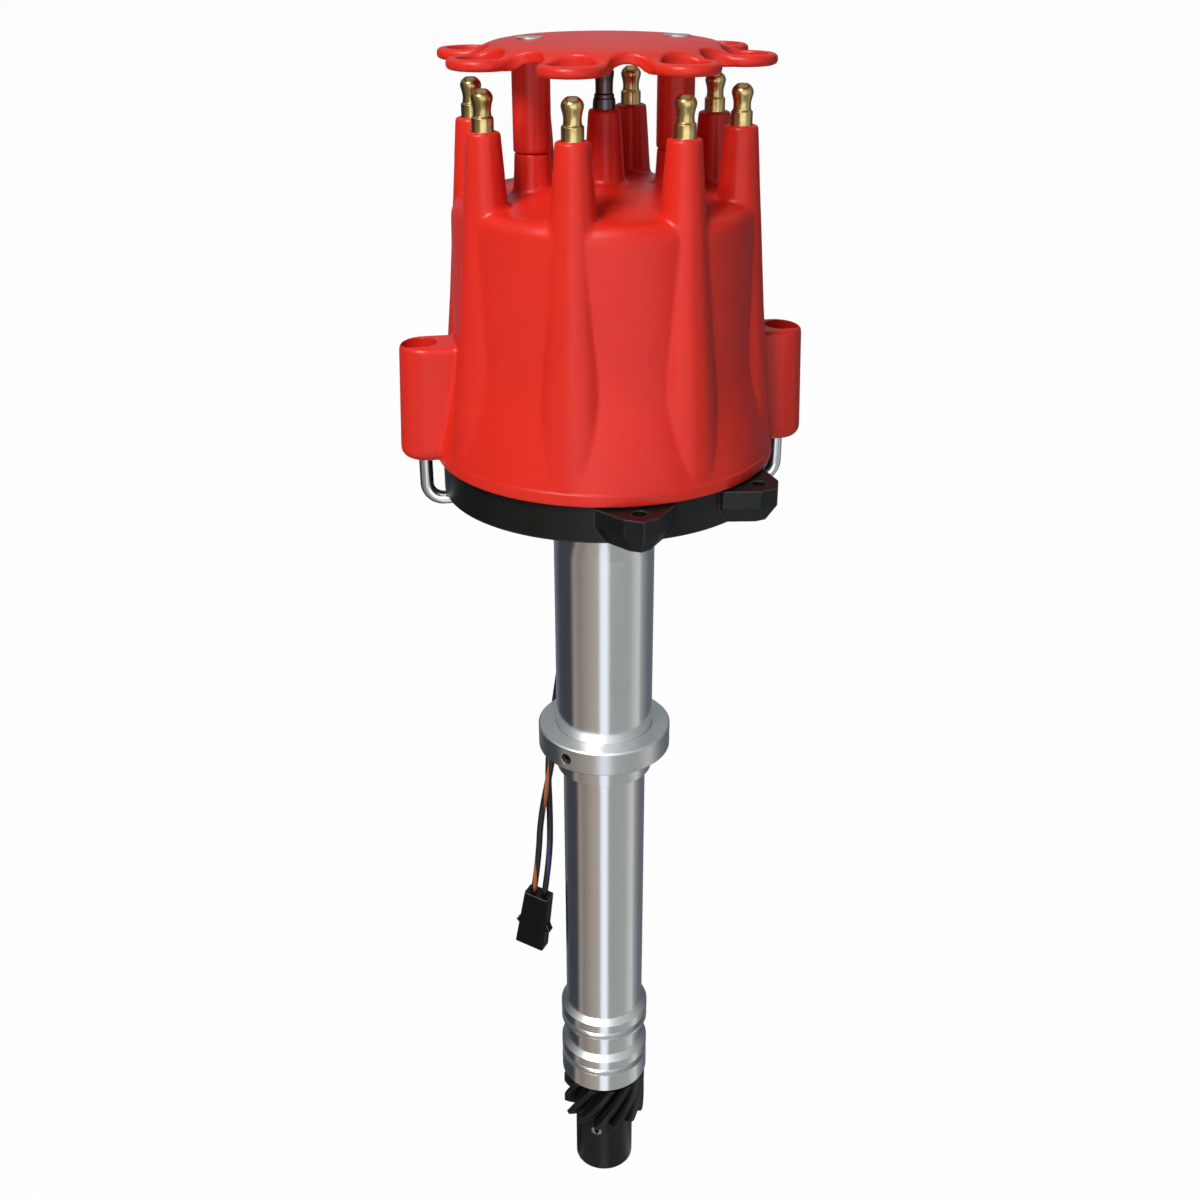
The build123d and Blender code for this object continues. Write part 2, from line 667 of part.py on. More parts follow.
# Wire retainer: domed plate with eight loops, on two legs
loop_at = place(tower_circle_r, 0)
scallop_at = place(tower_circle_r - scallop_inset, 180 / tower_count)
plan = Circle(plate_disc_r + plate_web)
for azimuth in tower_azimuths:
    plan += Rot(0, 0, azimuth) * Pos(loop_at.X, loop_at.Y) * Circle(loop_r)
for azimuth in tower_azimuths:
    plan -= Rot(0, 0, azimuth) * Pos(scallop_at.X, scallop_at.Y) * Circle(scallop_r)
plate = Pos(0, 0, plate_low_z) * extrude(plan, plate_crown_z - plate_low_z)
loop_reach = tower_circle_r + loop_r + overlap
rim_top_z = plate_low_z + plate_rim_thick
plate_edge_z = plate_crown_z - plate_edge_drop
plate_hollow_z = plate_crown_z - plate_wall
dome_top = Spline((0, plate_crown_z), (plate_disc_r * 0.8, plate_crown_z - plate_edge_drop / 3),
                  (plate_disc_r, plate_edge_z), (plate_disc_r + plate_edge_run, rim_top_z + seat_gap),
                  (loop_reach, rim_top_z), tangents=((1, 0), (1, 0)))
dome = make_face([
    dome_top,
    Line((loop_reach, rim_top_z), (loop_reach, plate_low_z)),
    Polyline((loop_reach, plate_low_z), (plate_disc_r, plate_low_z),
             (plate_disc_r - plate_edge_run, plate_hollow_z), (0, plate_hollow_z)),
    Line((0, plate_hollow_z), (0, plate_crown_z)),
])
plate &= revolve(Plane.XZ * dome, Axis.Z)
for azimuth in tower_azimuths:
    at = place(tower_circle_r, azimuth)
    plate -= bar(loop_hole_r, plate_low_z, plate_crown_z, at=(at.X, at.Y))
leg_top_z = plate_crown_z - plate_wall / 2
for side in (-1, 1):
    plate += bar(leg_r, post_top_z, leg_top_z, at=(side * post_circle_r, 0))
for side in (-1, 1):
    plate -= bar(retainer_screw_r + seat_gap, post_top_z, plate_crown_z, at=(side * post_circle_r, 0))
    plate -= bar(retainer_screw_head_r + face_gap, leg_top_z, plate_crown_z, at=(side * post_circle_r, 0))
node("wire_retainer", plate)
retainer_screw_deep = leg_top_z - post_top_z + retainer_screw_length / 2 - overlap
retainer_screw = screw(retainer_screw_r, retainer_screw_head_r, retainer_screw_head,
                       retainer_screw_deep, leg_top_z)
node("wire_retainer_screws", *[Pos(side * post_circle_r, 0, 0) * retainer_screw for side in (-1, 1)])


# Spring latches: slotted head, rod and hook in one piece; washer; spring
def latch_rod():
    """J-shaped rod modelled at azimuth 0, hook towards the axis."""
    centre_z = hook_top_z - latch_rod_r
    top = Vector(0, -latch_circle_r, latch_head_z)
    corner = Vector(0, -latch_circle_r, centre_z)
    tip = Vector(0, -latch_circle_r + latch_hook_reach, centre_z)
    path = FilletPolyline(top, corner, tip, radius=latch_hook_round)
    rod = sweep(Plane(origin=top, z_dir=(0, 0, -1)) * Circle(latch_rod_r), path=path)
    head = bar(latch_head_r, latch_head_z, latch_head_z + latch_head, at=(0, -latch_circle_r))
    slot = Pos(0, -latch_circle_r, latch_head_z + latch_head) * Box(
        3 * latch_head_r, latch_slot, latch_head)
    return rod + head - slot


latch_washer_ring = bar(latch_washer_r, latch_washer_z, latch_head_z, latch_rod_r + running_gap)
latch_spring_coil = coil_spring(latch_shelf_z, latch_washer_z, latch_spring_r, latch_spring_wire_r,
                                latch_spring_coils)
for name, azimuth in (("left", -90), ("right", 90)):
    at = place(latch_circle_r, azimuth)
    node(f"latch_screw_{name}", Rot(0, 0, azimuth) * latch_rod())
    node(f"latch_washer_{name}", Pos(at.X, at.Y, 0) * latch_washer_ring)
    node(f"latch_spring_{name}", Pos(at.X, at.Y, 0) * latch_spring_coil)

# Slip collar with three socket set screws
collar = bar(collar_r, 0, collar_height, neck_r + running_gap)
collar = chamfer(round_edges(collar, collar_r, 0) + round_edges(collar, collar_r, collar_height),
                 collar_chamfer)
set_screw_low = neck_r + face_gap
set_screw_line = Plane(origin=(0, 0, collar_height / 2), z_dir=(0, -1, 0))
set_screw_hole = set_screw_line * Cylinder(set_screw_r + seat_gap, 2 * collar_r, align=UP)
for hole in spread(set_screw_hole, set_screw_azimuths):
    collar -= hole
node("slip_collar", collar)
set_screw_top = collar_r - set_screw_inset
set_screw = set_screw_line * Pos(0, 0, set_screw_low) * Cylinder(
    set_screw_r, set_screw_top - set_screw_low, align=UP)
set_screw -= set_screw_line * Pos(0, 0, set_screw_top - set_screw_socket_depth) * extrude(
    RegularPolygon(set_screw_socket, 6), 2 * set_screw_socket_depth)
node("collar_set_screws", *spread(set_screw, set_screw_azimuths))

# Shaft: ground bar, spindle on top, slot for the oil pump drive in its foot
shaft = bar(shaft_r, shaft_low_z, shaft_shoulder_z)
clip_z = weight_top_z + running_gap
shaft += bar(spindle_r, shaft_shoulder_z, clip_z + clip_thick + spindle_stub)
shaft -= Pos(0, 0, shaft_low_z) * Box(pump_slot_width, 3 * shaft_r, 2 * pump_slot_depth)
roll_pin_line = Plane(origin=(0, 0, roll_pin_z), z_dir=place(1, roll_pin_azimuth))
roll_pin_hole = roll_pin_line * Cylinder(roll_pin_r + seat_gap, 3 * gear_hub_r)
shaft -= roll_pin_hole
shaft -= bar(spindle_r + overlap, clip_z, clip_z + clip_thick + seat_gap, spindle_r - clip_groove)
node("shaft", shaft)
washers = [bar(washer_r, z - washer_thick, z, shaft_r + running_gap)
           for z in [housing_low_z - running_gap - i * washer_step for i in range(washer_count)]]
node("thrust_washers", *washers)
roll_pin = roll_pin_line * Cylinder(roll_pin_r, 2 * (gear_hub_r - roll_pin_inset))
roll_pin -= roll_pin_line * Cylinder(roll_pin_bore_r, 3 * gear_hub_r)
roll_pin -= roll_pin_line * Pos(0, roll_pin_r, 0) * Box(roll_pin_split, 2 * roll_pin_r, 3 * gear_hub_r)
node("gear_roll_pin", roll_pin)


# Drive gear: helical teeth, plain hub below them
def tooth_outline():
    """Outline of all the gear teeth: curved flanks, narrow tips, rounded roots."""
    pitch_angle = 360 / gear_teeth
    tip_half = pitch_angle * gear_tip_share / 2
    root_half = pitch_angle * gear_root_share / 2
    mid_r = (gear_tip_r + gear_root_r) / 2
    mid_half = pitch_angle * gear_mid_share / 2

    def at_angle(radius, angle):
        return (radius * cos(radians(angle)), radius * sin(radians(angle)))

    edges = []
    for tooth in range(gear_teeth):
        centre = tooth * pitch_angle
        rise = [at_angle(gear_root_r, centre - root_half), at_angle(mid_r, centre - mid_half),
                at_angle(gear_tip_r, centre - tip_half)]
        fall = [at_angle(gear_tip_r, centre + tip_half), at_angle(mid_r, centre + mid_half),
                at_angle(gear_root_r, centre + root_half)]
        next_root = at_angle(gear_root_r, centre + pitch_angle - root_half)
        low = at_angle(gear_root_r - gear_root_hollow, centre + pitch_angle / 2)
        edges += [ThreePointArc(*rise), ThreePointArc(rise[2], at_angle(gear_tip_r, centre), fall[0]),
                  ThreePointArc(*fall), ThreePointArc(fall[2], low, next_root)]
    return make_face(edges)


twist = degrees(gear_face * tan(radians(gear_helix)) / gear_tip_r)
teeth = Part(Solid.extrude_linear_with_rotation(
    (Pos(0, 0, gear_face_z) * tooth_outline()).face(), center=(0, 0, gear_face_z),
    normal=(0, 0, gear_face), angle=twist).wrapped)
hub = bar(gear_hub_r, shaft_low_z, gear_face_z)
hub = chamfer(round_edges(hub, gear_hub_r, shaft_low_z), gear_hub_chamfer)
gear = teeth + hub - bar(shaft_r + seat_gap, shaft_low_z, gear_top_z) - roll_pin_hole
node("drive_gear", gear)

# Advance base: sleeve round the spindle, base plate with its pins
weight_pin_at = Vector(weight_pin_x, weight_pin_y)
advance_base = bar(sleeve_r, shaft_shoulder_z + running_gap, base_plate_top_z)
advance_base += bar(sleeve_flange_r, reluctor_z - sleeve_flange, reluctor_z)
advance_base += bar(base_plate_r, base_plate_z, base_plate_top_z)
half_turns = (0, 180)
foot_at = Vector(0, -rotor_foot_circle_r)
for turn in half_turns:
    pin_pad = bar(weight_pin_pad_r, base_plate_z, base_plate_top_z, at=(weight_pin_at.X, weight_pin_at.Y))
    pin = bar(weight_pin_r, base_plate_top_z, post_pin_top_z, at=(weight_pin_at.X, weight_pin_at.Y))
    foot_pad = bar(rotor_foot_r + rotor_foot_pad, base_plate_z, base_plate_top_z, at=(0, foot_at.Y))
    advance_base += Rot(0, 0, turn) * (pin_pad + pin + foot_pad)
advance_base += bar(stop_pin_r, base_plate_top_z, weight_top_z, at=(0, -stop_circle_r))
advance_base -= bar(spindle_r + running_gap, shaft_shoulder_z, base_plate_top_z)
rotor_screw_hole = bar(rotor_screw_r + seat_gap, base_plate_z, rotor_base_top_z, at=(0, foot_at.Y))
for hole in spread(rotor_screw_hole, half_turns):
    advance_base -= hole
node("advance_base", advance_base)
node("stop_bushing", bar(stop_bushing_r, base_plate_top_z, weight_top_z, stop_pin_r + running_gap,
                         at=(0, -stop_circle_r)))

# Reluctor: eight-point star on the sleeve
reluctor = bar(reluctor_root_r, reluctor_z, reluctor_z + reluctor_height, sleeve_r + seat_gap)
point_length = reluctor_r - reluctor_root_r + 2 * overlap
point = Pos(0, -reluctor_r + point_length / 2, reluctor_z) * Box(
    reluctor_tooth, point_length, reluctor_height, align=UP)
for copy in spread(point, [pickup_azimuth + i * 360 / reluctor_teeth for i in range(reluctor_teeth)]):
    reluctor += copy
node("reluctor", reluctor)


# Advance weights: curved bodies that swing on the base plate's pins
def weight():
    """The weight on the +X side."""
    heel = Pos(weight_pin_x, weight_pin_y) * Circle(weight_heel_r)
    toe = Pos(weight_toe_x, weight_toe_y) * Circle(weight_toe_r)
    plan = make_hull((heel + toe).edges()) - Circle(weight_cam_gap_r)
    plan -= Pos(weight_pin_x, weight_pin_y) * Circle(weight_pin_r + running_gap)
    return Pos(0, 0, weight_z) * extrude(plan, weight_thick)


for number, turn in enumerate(half_turns, start=1):
    node(f"advance_weight_{number}", Rot(0, 0, turn) * weight())

# Cam plate on the spindle: two lobes with spring posts, and the stop's slotted arm
cam_plan = Circle(cam_r)
for turn in half_turns:
    lobe_at = Rot(0, 0, turn) * Pos(cam_lobe_x, cam_lobe_y)
    cam_plan += make_hull((Circle(cam_lobe_r) + lobe_at * Circle(cam_lobe_r)).edges())
slot_half_r = stop_bushing_r + running_gap
arm_at = [place(stop_circle_r, -angle) for angle in (0, advance_angle)]
arm_ends = [Pos(at.X, at.Y) * Circle(slot_half_r + stop_wall) for at in arm_at]
cam_plan += make_hull((Circle(cam_arm_root_r) + arm_ends[0] + arm_ends[1]).edges())
slot_plan = make_hull((Pos(arm_at[0].X, arm_at[0].Y) * Circle(slot_half_r)
                       + Pos(arm_at[1].X, arm_at[1].Y) * Circle(slot_half_r)).edges())
cam_plate = Pos(0, 0, weight_z) * extrude(cam_plan, weight_thick)
cam_plate -= Pos(0, 0, weight_z) * extrude(slot_plan, weight_thick)
for turn in half_turns:
    cam_plate += Rot(0, 0, turn) * bar(cam_post_r, weight_top_z, post_pin_top_z,
                                       at=(cam_lobe_x, cam_lobe_y))
cam_plate -= bar(spindle_r + seat_gap, weight_z, weight_top_z)
node("cam_plate", cam_plate)
cam_clip = bar(clip_r, clip_z, clip_z + clip_thick, spindle_r - clip_groove + seat_gap)
cam_clip -= Pos(0, -clip_r, clip_z) * Box(clip_r, 2 * clip_r, 4 * clip_thick)
node("cam_clip", cam_clip)


# Advance springs, from each weight's pin to the cam's post
def advance_spring():
    """Coil with an eye at each end, for the weight on the +X side."""
    pin = Vector(weight_pin_x, weight_pin_y, spring_z)
    post = Vector(cam_lobe_x, cam_lobe_y, spring_z)
    length = (post - pin).length
    pin_eye_r = weight_pin_r + face_gap + spring_wire_r
    post_eye_r = cam_post_r + face_gap + spring_wire_r
    coil_start = pin_eye_r + spring_wire_r
    coil = coil_spring(coil_start, length - post_eye_r - spring_wire_r, spring_coil_r,
                       spring_wire_r, spring_coils)
    eyes = Torus(pin_eye_r, spring_wire_r), Pos(length, 0, 0) * Torus(post_eye_r, spring_wire_r)
    laid = Rot(0, 90, 0) * coil
    turn = degrees(atan2((post - pin).Y, (post - pin).X))
    return Pos(*pin) * Rot(0, 0, turn) * (laid + eyes[0] + eyes[1])


for number, turn in enumerate(half_turns, start=1):
    node(f"advance_spring_{number}", Rot(0, 0, turn) * advance_spring())

# Rotor: moulded disc on two feet, hub and arm, brass contact on top
rotor = bar(rotor_base_r, rotor_base_z, rotor_base_top_z)
for turn in half_turns:
    rotor += Rot(0, 0, turn) * bar(rotor_foot_r, base_plate_top_z, rotor_base_top_z, at=(0, foot_at.Y))
rotor += taper(rotor_hub_r, rotor_hub_top_r, rotor_base_top_z, rotor_top_z)
contact_reach = tower_circle_r - terminal_rod_r - rotor_spark_gap
arm_reach = contact_reach - rotor_contact_overhang
arm_web = make_face(Polyline(
    (0, rotor_base_top_z), (-rotor_base_r + rotor_arm_inset, rotor_base_top_z),
    (-arm_reach, rotor_top_z - rotor_arm_drop), (-arm_reach, rotor_top_z),
    (0, rotor_top_z), close=True))
arm = extrude(Plane.YZ * arm_web, rotor_arm_width / 2, both=True)
rotor += Rot(0, 0, rotor_azimuth) * arm
for hole in spread(rotor_screw_hole, half_turns):
    rotor -= hole
rotor -= bar(spindle_r + rotor_spindle_room, rotor_base_z, rotor_base_z + rotor_spindle_recess)
node("rotor", rotor)
contact_top_z = rotor_top_z + rotor_contact_thick
leaf_top_z = contact_top_z + rotor_leaf_rise
contact = Pos(0, (rotor_hub_top_r - contact_reach) / 2, rotor_top_z) * Box(
    rotor_contact_width, contact_reach + rotor_hub_top_r, rotor_contact_thick, align=UP)
leaf = make_face(Polyline(
    (rotor_hub_top_r - rotor_leaf_half, rotor_top_z), (rotor_hub_top_r - rotor_leaf_half, contact_top_z),
    (rotor_leaf_half, leaf_top_z), (-rotor_leaf_half, leaf_top_z),
    (-rotor_leaf_half, leaf_top_z - rotor_leaf_thick),
    (rotor_leaf_half * 0.8, leaf_top_z - rotor_leaf_thick),
    (rotor_hub_top_r - 2 * rotor_leaf_half, rotor_top_z), close=True))
contact += extrude(Plane.YZ * leaf, rotor_contact_width / 3, both=True)
node("rotor_contact", Rot(0, 0, rotor_azimuth) * contact)
rotor_screw = Pos(0, foot_at.Y, 0) * screw(rotor_screw_r, rotor_screw_head_r, rotor_screw_head,
                                          rotor_base_top_z - base_plate_z, rotor_base_top_z)
node("rotor_screws", *spread(rotor_screw, half_turns))

# Magnetic pickup: bracket on the bowl's floor, coil block with its pole, two screws
pole_r = reluctor_r + pickup_gap
bracket_ends = [(sin(radians(side * bracket_half_angle)), -cos(radians(bracket_half_angle)))
                for side in (-1, 1)]
bracket = make_face([
    *[CenterArc((0, 0), r, -90 - bracket_half_angle, 2 * bracket_half_angle)
      for r in (bracket_inner_r, bracket_outer_r)],
    *[Line((x * bracket_inner_r, y * bracket_inner_r), (x * bracket_outer_r, y * bracket_outer_r))
      for x, y in bracket_ends],
])
bracket = Pos(0, 0, floor_z) * extrude(bracket, bracket_thick)
bracket -= bar(grommet_flange_r + face_gap, floor_z, floor_z + bracket_thick, at=(0, -grommet_circle_r))
bracket = Rot(0, 0, pickup_azimuth) * bracket
for hole in spread(bracket_screw_hole, bracket_screw_azimuths):
    bracket -= hole
node("pickup_bracket", bracket)
block_length = pickup_outer_r - pickup_inner_r
pickup = Pos(0, -pickup_inner_r - block_length / 2, pickup_low_z) * Box(
    pickup_width, block_length, pickup_height, align=UP)
pickup = fillet(pickup.edges().filter_by(Axis.Z), pickup_round)
pole_length = pickup_inner_r - pole_r + overlap
pickup += Pos(0, -pole_r - pole_length / 2, reluctor_z) * Box(
    pickup_pole_width, pole_length, reluctor_height, align=UP)
node("magnetic_pickup", Rot(0, 0, pickup_azimuth) * pickup)
bracket_screw = Pos(bracket_screw_at.X, bracket_screw_at.Y, 0) * screw(
    bracket_screw_r, bracket_screw_head_r, bracket_screw_head, bowl_floor, floor_z + bracket_thick)
node("pickup_screws", *spread(bracket_screw, bracket_screw_azimuths))

# Grommet in the bowl's floor, with a hole for each wire
wire_holes = [place(grommet_circle_r, pickup_azimuth + side * degrees(asin(
    wire_spacing / 2 / grommet_circle_r))) for side in (1, -1)]
grommet = bar(grommet_r, spot_face_z, floor_z, at=(exit_at.X, exit_at.Y))
grommet += bar(grommet_flange_r, spot_face_z - grommet_flange, spot_face_z, at=(exit_at.X, exit_at.Y))
grommet += bar(grommet_flange_r, floor_z, floor_z + grommet_flange, at=(exit_at.X, exit_at.Y))
for at in wire_holes:
    grommet -= bar(wire_r + seat_gap, spot_face_z - grommet_flange, floor_z + grommet_flange,
                   at=(at.X, at.Y))
node("lead_grommet", grommet)

# Connector: two-way housing with side latches, hanging on the wires
connector_at = Pos(*connector_entry) * Rot(0, 0, connector_turn) * Rot(0, connector_lean, 0)
shell = loft([Pos(0, 0, z) * RectangleRounded(width, connector_thick, connector_round) for z, width in (
    (0, connector_top_width), (-connector_length, connector_width))])
socket = Pos(0, 0, -connector_length) * Box(
    connector_width - 2 * connector_side_wall, connector_thick - 2 * connector_wall,
    2 * connector_socket_depth)
latch_half = (connector_top_width + connector_width) / 4
latch_tip = latch_half + connector_latch
latch_lip_z = -connector_latch_drop - connector_latch_lip
latch_rise_z = -connector_latch_drop + connector_latch_rise
latch_foot_z = -connector_latch_drop - connector_latch_foot
latch_plan = make_face(Polyline(
    (-latch_tip, latch_lip_z), (-latch_half, latch_rise_z), (latch_half, latch_rise_z),
    (latch_tip, latch_lip_z), (latch_half, latch_foot_z), (-latch_half, latch_foot_z), close=True))
latches = extrude(Plane.XZ * latch_plan, connector_thick / 4, both=True)
pin_sides = (-connector_pitch / 2, connector_pitch / 2)
pin_length = connector_length - connector_pin_inset - connector_pin_cover
pin_hole_top = connector_length - connector_pin_cover + overlap / 2
pin_holes = [Pos(x, 0, -connector_length) * Cylinder(connector_pin_r + seat_gap, pin_hole_top, align=UP)
             for x in pin_sides]
connector = shell + latches - socket
for hole in pin_holes:
    connector -= hole
node("connector", connector_at * connector)
node("connector_terminals", *[
    connector_at * Pos(x, 0, -connector_length + connector_pin_inset) * Cylinder(
        connector_pin_r, pin_length, align=UP) for x in pin_sides])


# Pickup lead: two wires from the pickup down behind the neck to the connector
def wire(name, start, side, route):
    """Straight runs joined by arcs, each arc as large as its two runs allow."""
    end = (connector_at * Pos(side, 0, 0)).position
    before_end = (connector_at * Pos(side, 0, wire_last_run)).position
    points = [Vector(start.X, start.Y, pickup_low_z), *[Vector(*point) for point in route],
              before_end, end]
    radii = []
    for a, b, c in zip(points, points[1:], points[2:]):
        run = min((b - a).length, (c - b).length)
        turn = (b - a).get_angle(c - b)
        radii.append(arc_share * run / tan(radians(turn) / 2))
    path = FilletPolyline(*points, radius=radii)
    tube = sweep(Plane(origin=points[0], z_dir=points[1] - points[0]) * Circle(wire_r), path=path)
    ratio = tube.volume / (pi * wire_r ** 2 * path.length)
    print(name, "length", round(path.length, 1), "volume ratio", round(ratio, 4),
          "radii", [round(radius) for radius in radii])
    node(name, tube)


orange_start, violet_start = wire_holes
wire("wire_orange_stripe", orange_start, pin_sides[0], [
    (orange_start.X, orange_start.Y, 79), (-10.6, 27.6, 55), (-11.9, 25.0, 32), (-13.3, 22.9, 8),
    (-15.9, 21.8, -17), (-19.5, 21.6, -41)])
wire("wire_violet_stripe", violet_start, pin_sides[1], [
    (violet_start.X, violet_start.Y, 81), (-7.7, 29.2, 56), (-9.2, 27.2, 31), (-11.2, 25.3, 7),
    (-13.9, 23.8, -18), (-15.9, 21.9, -41)])
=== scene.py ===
from math import asin, cos, pi, radians, sin

import bpy
from mathutils import Matrix, Vector


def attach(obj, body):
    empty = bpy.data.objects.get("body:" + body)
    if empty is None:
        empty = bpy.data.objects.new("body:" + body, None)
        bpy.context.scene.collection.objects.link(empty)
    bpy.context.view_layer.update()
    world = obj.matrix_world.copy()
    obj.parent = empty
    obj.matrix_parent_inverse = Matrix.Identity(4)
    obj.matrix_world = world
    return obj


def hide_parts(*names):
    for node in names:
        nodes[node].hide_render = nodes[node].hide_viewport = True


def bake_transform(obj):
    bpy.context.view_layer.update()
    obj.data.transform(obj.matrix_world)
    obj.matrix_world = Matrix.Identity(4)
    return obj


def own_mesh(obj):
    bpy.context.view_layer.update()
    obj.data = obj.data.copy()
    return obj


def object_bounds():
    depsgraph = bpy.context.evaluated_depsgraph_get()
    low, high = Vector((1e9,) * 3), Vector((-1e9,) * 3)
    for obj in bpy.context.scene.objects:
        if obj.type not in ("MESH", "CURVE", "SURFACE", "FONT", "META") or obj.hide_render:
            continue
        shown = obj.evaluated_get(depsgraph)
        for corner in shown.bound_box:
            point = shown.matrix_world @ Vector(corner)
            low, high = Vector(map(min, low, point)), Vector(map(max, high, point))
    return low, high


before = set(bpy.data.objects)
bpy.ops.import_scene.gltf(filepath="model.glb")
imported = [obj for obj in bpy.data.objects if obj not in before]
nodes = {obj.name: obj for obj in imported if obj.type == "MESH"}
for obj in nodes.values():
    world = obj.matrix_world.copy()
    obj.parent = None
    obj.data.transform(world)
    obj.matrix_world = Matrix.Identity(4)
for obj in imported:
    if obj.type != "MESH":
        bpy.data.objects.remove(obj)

cad_box = [list(corner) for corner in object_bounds()]
mm = 0.001

# Camera.
# It looks down at the distributor from the front, a little from its left.
# The shaft's axis stands upright in the picture, just right of the middle.
lens = 42.745
sensor = 36.0
camera_out = 0.40835
camera_up = 0.25296
camera_azimuth = -10.4
camera_dip = 26.13
axis_right_px = 4.17
picture_px = 1200
camera_data = bpy.data.cameras.new("camera")
camera_data.lens = lens
camera_data.sensor_width = sensor
camera_data.shift_x = -axis_right_px / picture_px
camera = bpy.data.objects.new("camera", camera_data)
camera.location = (camera_out * sin(radians(camera_azimuth)),
                   -camera_out * cos(radians(camera_azimuth)), camera_up)
camera.rotation_euler = (radians(90 - camera_dip), 0, radians(camera_azimuth))
bpy.context.scene.collection.objects.link(camera)
bpy.context.scene.camera = camera
bpy.context.scene.view_settings.view_transform = "Standard"

# Pickup lead: two stranded wires in smooth black insulation, one with an orange and one with a violet stripe.
# They come straight down out of the grommet in the bowl's floor, pass behind the slip collar, and hang free.
# The stripe is printed along the insulation and winds slowly round it.
wire_d = 2.3 * mm
grommet_out = 30.5
grommet_azimuth = -166.3
wire_apart = 3.1
lead_start_z = 99.4
connector_entry = Vector((-20.5, 21.7, -76.7)) * mm
connector_turn = -34.5
connector_lean = 8.5
connector_pitch = 4.3
last_straight = 16
connector_place = (Matrix.Translation(connector_entry) @ Matrix.Rotation(radians(connector_turn), 4, "Z")
                   @ Matrix.Rotation(radians(connector_lean), 4, "Y"))


class Value:
    """A shader socket that takes Python's arithmetic."""

    def __init__(self, finish, socket):
        self.finish, self.socket = finish, socket

    def maths(self, operation, *values):
        return self.finish.node("Math", {"operation": operation}, *values)

    def __add__(self, other):
        return self.maths("ADD", self, other)

    def __radd__(self, other):
        return self.maths("ADD", other, self)

    def __sub__(self, other):
        return self.maths("SUBTRACT", self, other)

    def __rsub__(self, other):
        return self.maths("SUBTRACT", other, self)

    def __mul__(self, other):
        return self.maths("MULTIPLY", self, other)

    def __rmul__(self, other):
        return self.maths("MULTIPLY", other, self)

    def __truediv__(self, other):
        return self.maths("DIVIDE", self, other)

    def between(self, low, high):
        """0 below low, 1 above high, smooth between them."""
        return self.finish.node("MapRange", {"interpolation_type": "SMOOTHSTEP", "clamp": True},
                                self, low, high, 0.0, 1.0)


class Finish:
    """One material: its Principled shader and the nodes that feed it."""

    def __init__(self, name, material=None):
        self.material = material or bpy.data.materials.new(name)
        self.material.use_nodes = True
        self.tree = self.material.node_tree
        self.shader = self.tree.nodes.get("Principled BSDF")

    def node(self, kind, settings=None, *values, output=0, **named):
        """Adds a node: its settings first, then the values or links of its sockets."""
        made = self.tree.nodes.new("ShaderNode" + kind)
        for key, value in (settings or {}).items():
            if key == "stops":
                ramp = made.color_ramp
                while len(ramp.elements) < len(value):
                    ramp.elements.new(0.5)
                for element, (place, colour) in zip(ramp.elements, value):
                    element.position = place
                    element.color = (*colour, 1.0)
            else:
                setattr(made, key, value)
        free = [socket for socket in made.inputs if socket.enabled]
        for socket, value in [*zip(free, values), *((made.inputs[key.replace("_", " ")], value)
                                                     for key, value in named.items())]:
            if isinstance(value, Value):
                self.tree.links.new(value.socket, socket)
            elif value is not None:
                socket.default_value = value
        outputs = [socket for socket in made.outputs if socket.enabled]
        return Value(self, made.outputs[output] if isinstance(output, str) else outputs[output])

    def place(self, scale=(1, 1, 1), source="Object"):
        """Coordinates on the piece itself, in metres, stretched by scale."""
        point = self.node("TexCoord", output=source)
        return self.node("Mapping", {"vector_type": "POINT"}, Vector=point, Scale=scale)

    def noise(self, scale, detail=3.0, rough=0.55, stretch=(1, 1, 1)):
        return self.node("TexNoise", None, Vector=self.place(stretch), Scale=scale, Detail=detail,
                         Roughness=rough)

    def mix(self, share, low, high):
        """A colour between two, by a share."""
        low, high = [(*c, 1.0) if isinstance(c, tuple) and len(c) == 3 else c for c in (low, high)]
        return self.node("Mix", {"data_type": "RGBA"}, share, low, high)

    def edge(self, radius):
        """1 along a sharp edge of the piece, 0 away from it."""
        soft = self.node("Bevel", {"samples": 4}, radius)
        hard = self.node("NewGeometry", output="Normal")
        same = self.node("VectorMath", {"operation": "DOT_PRODUCT"}, soft, hard, output="Value")
        return 1 - same

    def relief(self, height, depth, radius=0.0):
        """The shader's normal: a bump of this depth, over edges rounded to this radius."""
        base = self.node("Bevel", {"samples": 4}, radius) if radius else None
        named = {"Normal": base} if base else {}
        return self.node("Bump", None, Strength=1.0, Distance=depth, Height=height, **named)

    def wear(self, **named):
        """Sets the shader's own sockets."""
        for key, value in named.items():
            socket = self.shader.inputs[key.replace("_", " ")]
            if isinstance(value, Value):
                self.tree.links.new(value.socket, socket)
            else:
                socket.default_value = value
        return self


def clear_choice():
    """Nothing selected, and no piece in edit mode."""
    if bpy.context.object and bpy.context.object.mode == "EDIT":
        bpy.ops.object.mode_set(mode="OBJECT")
    bpy.ops.object.select_all(action="DESELECT")


def dress(piece, finish):
    """Gives a piece one material all over."""
    piece.data.materials.clear()
    piece.data.materials.append(finish.material)
    return piece


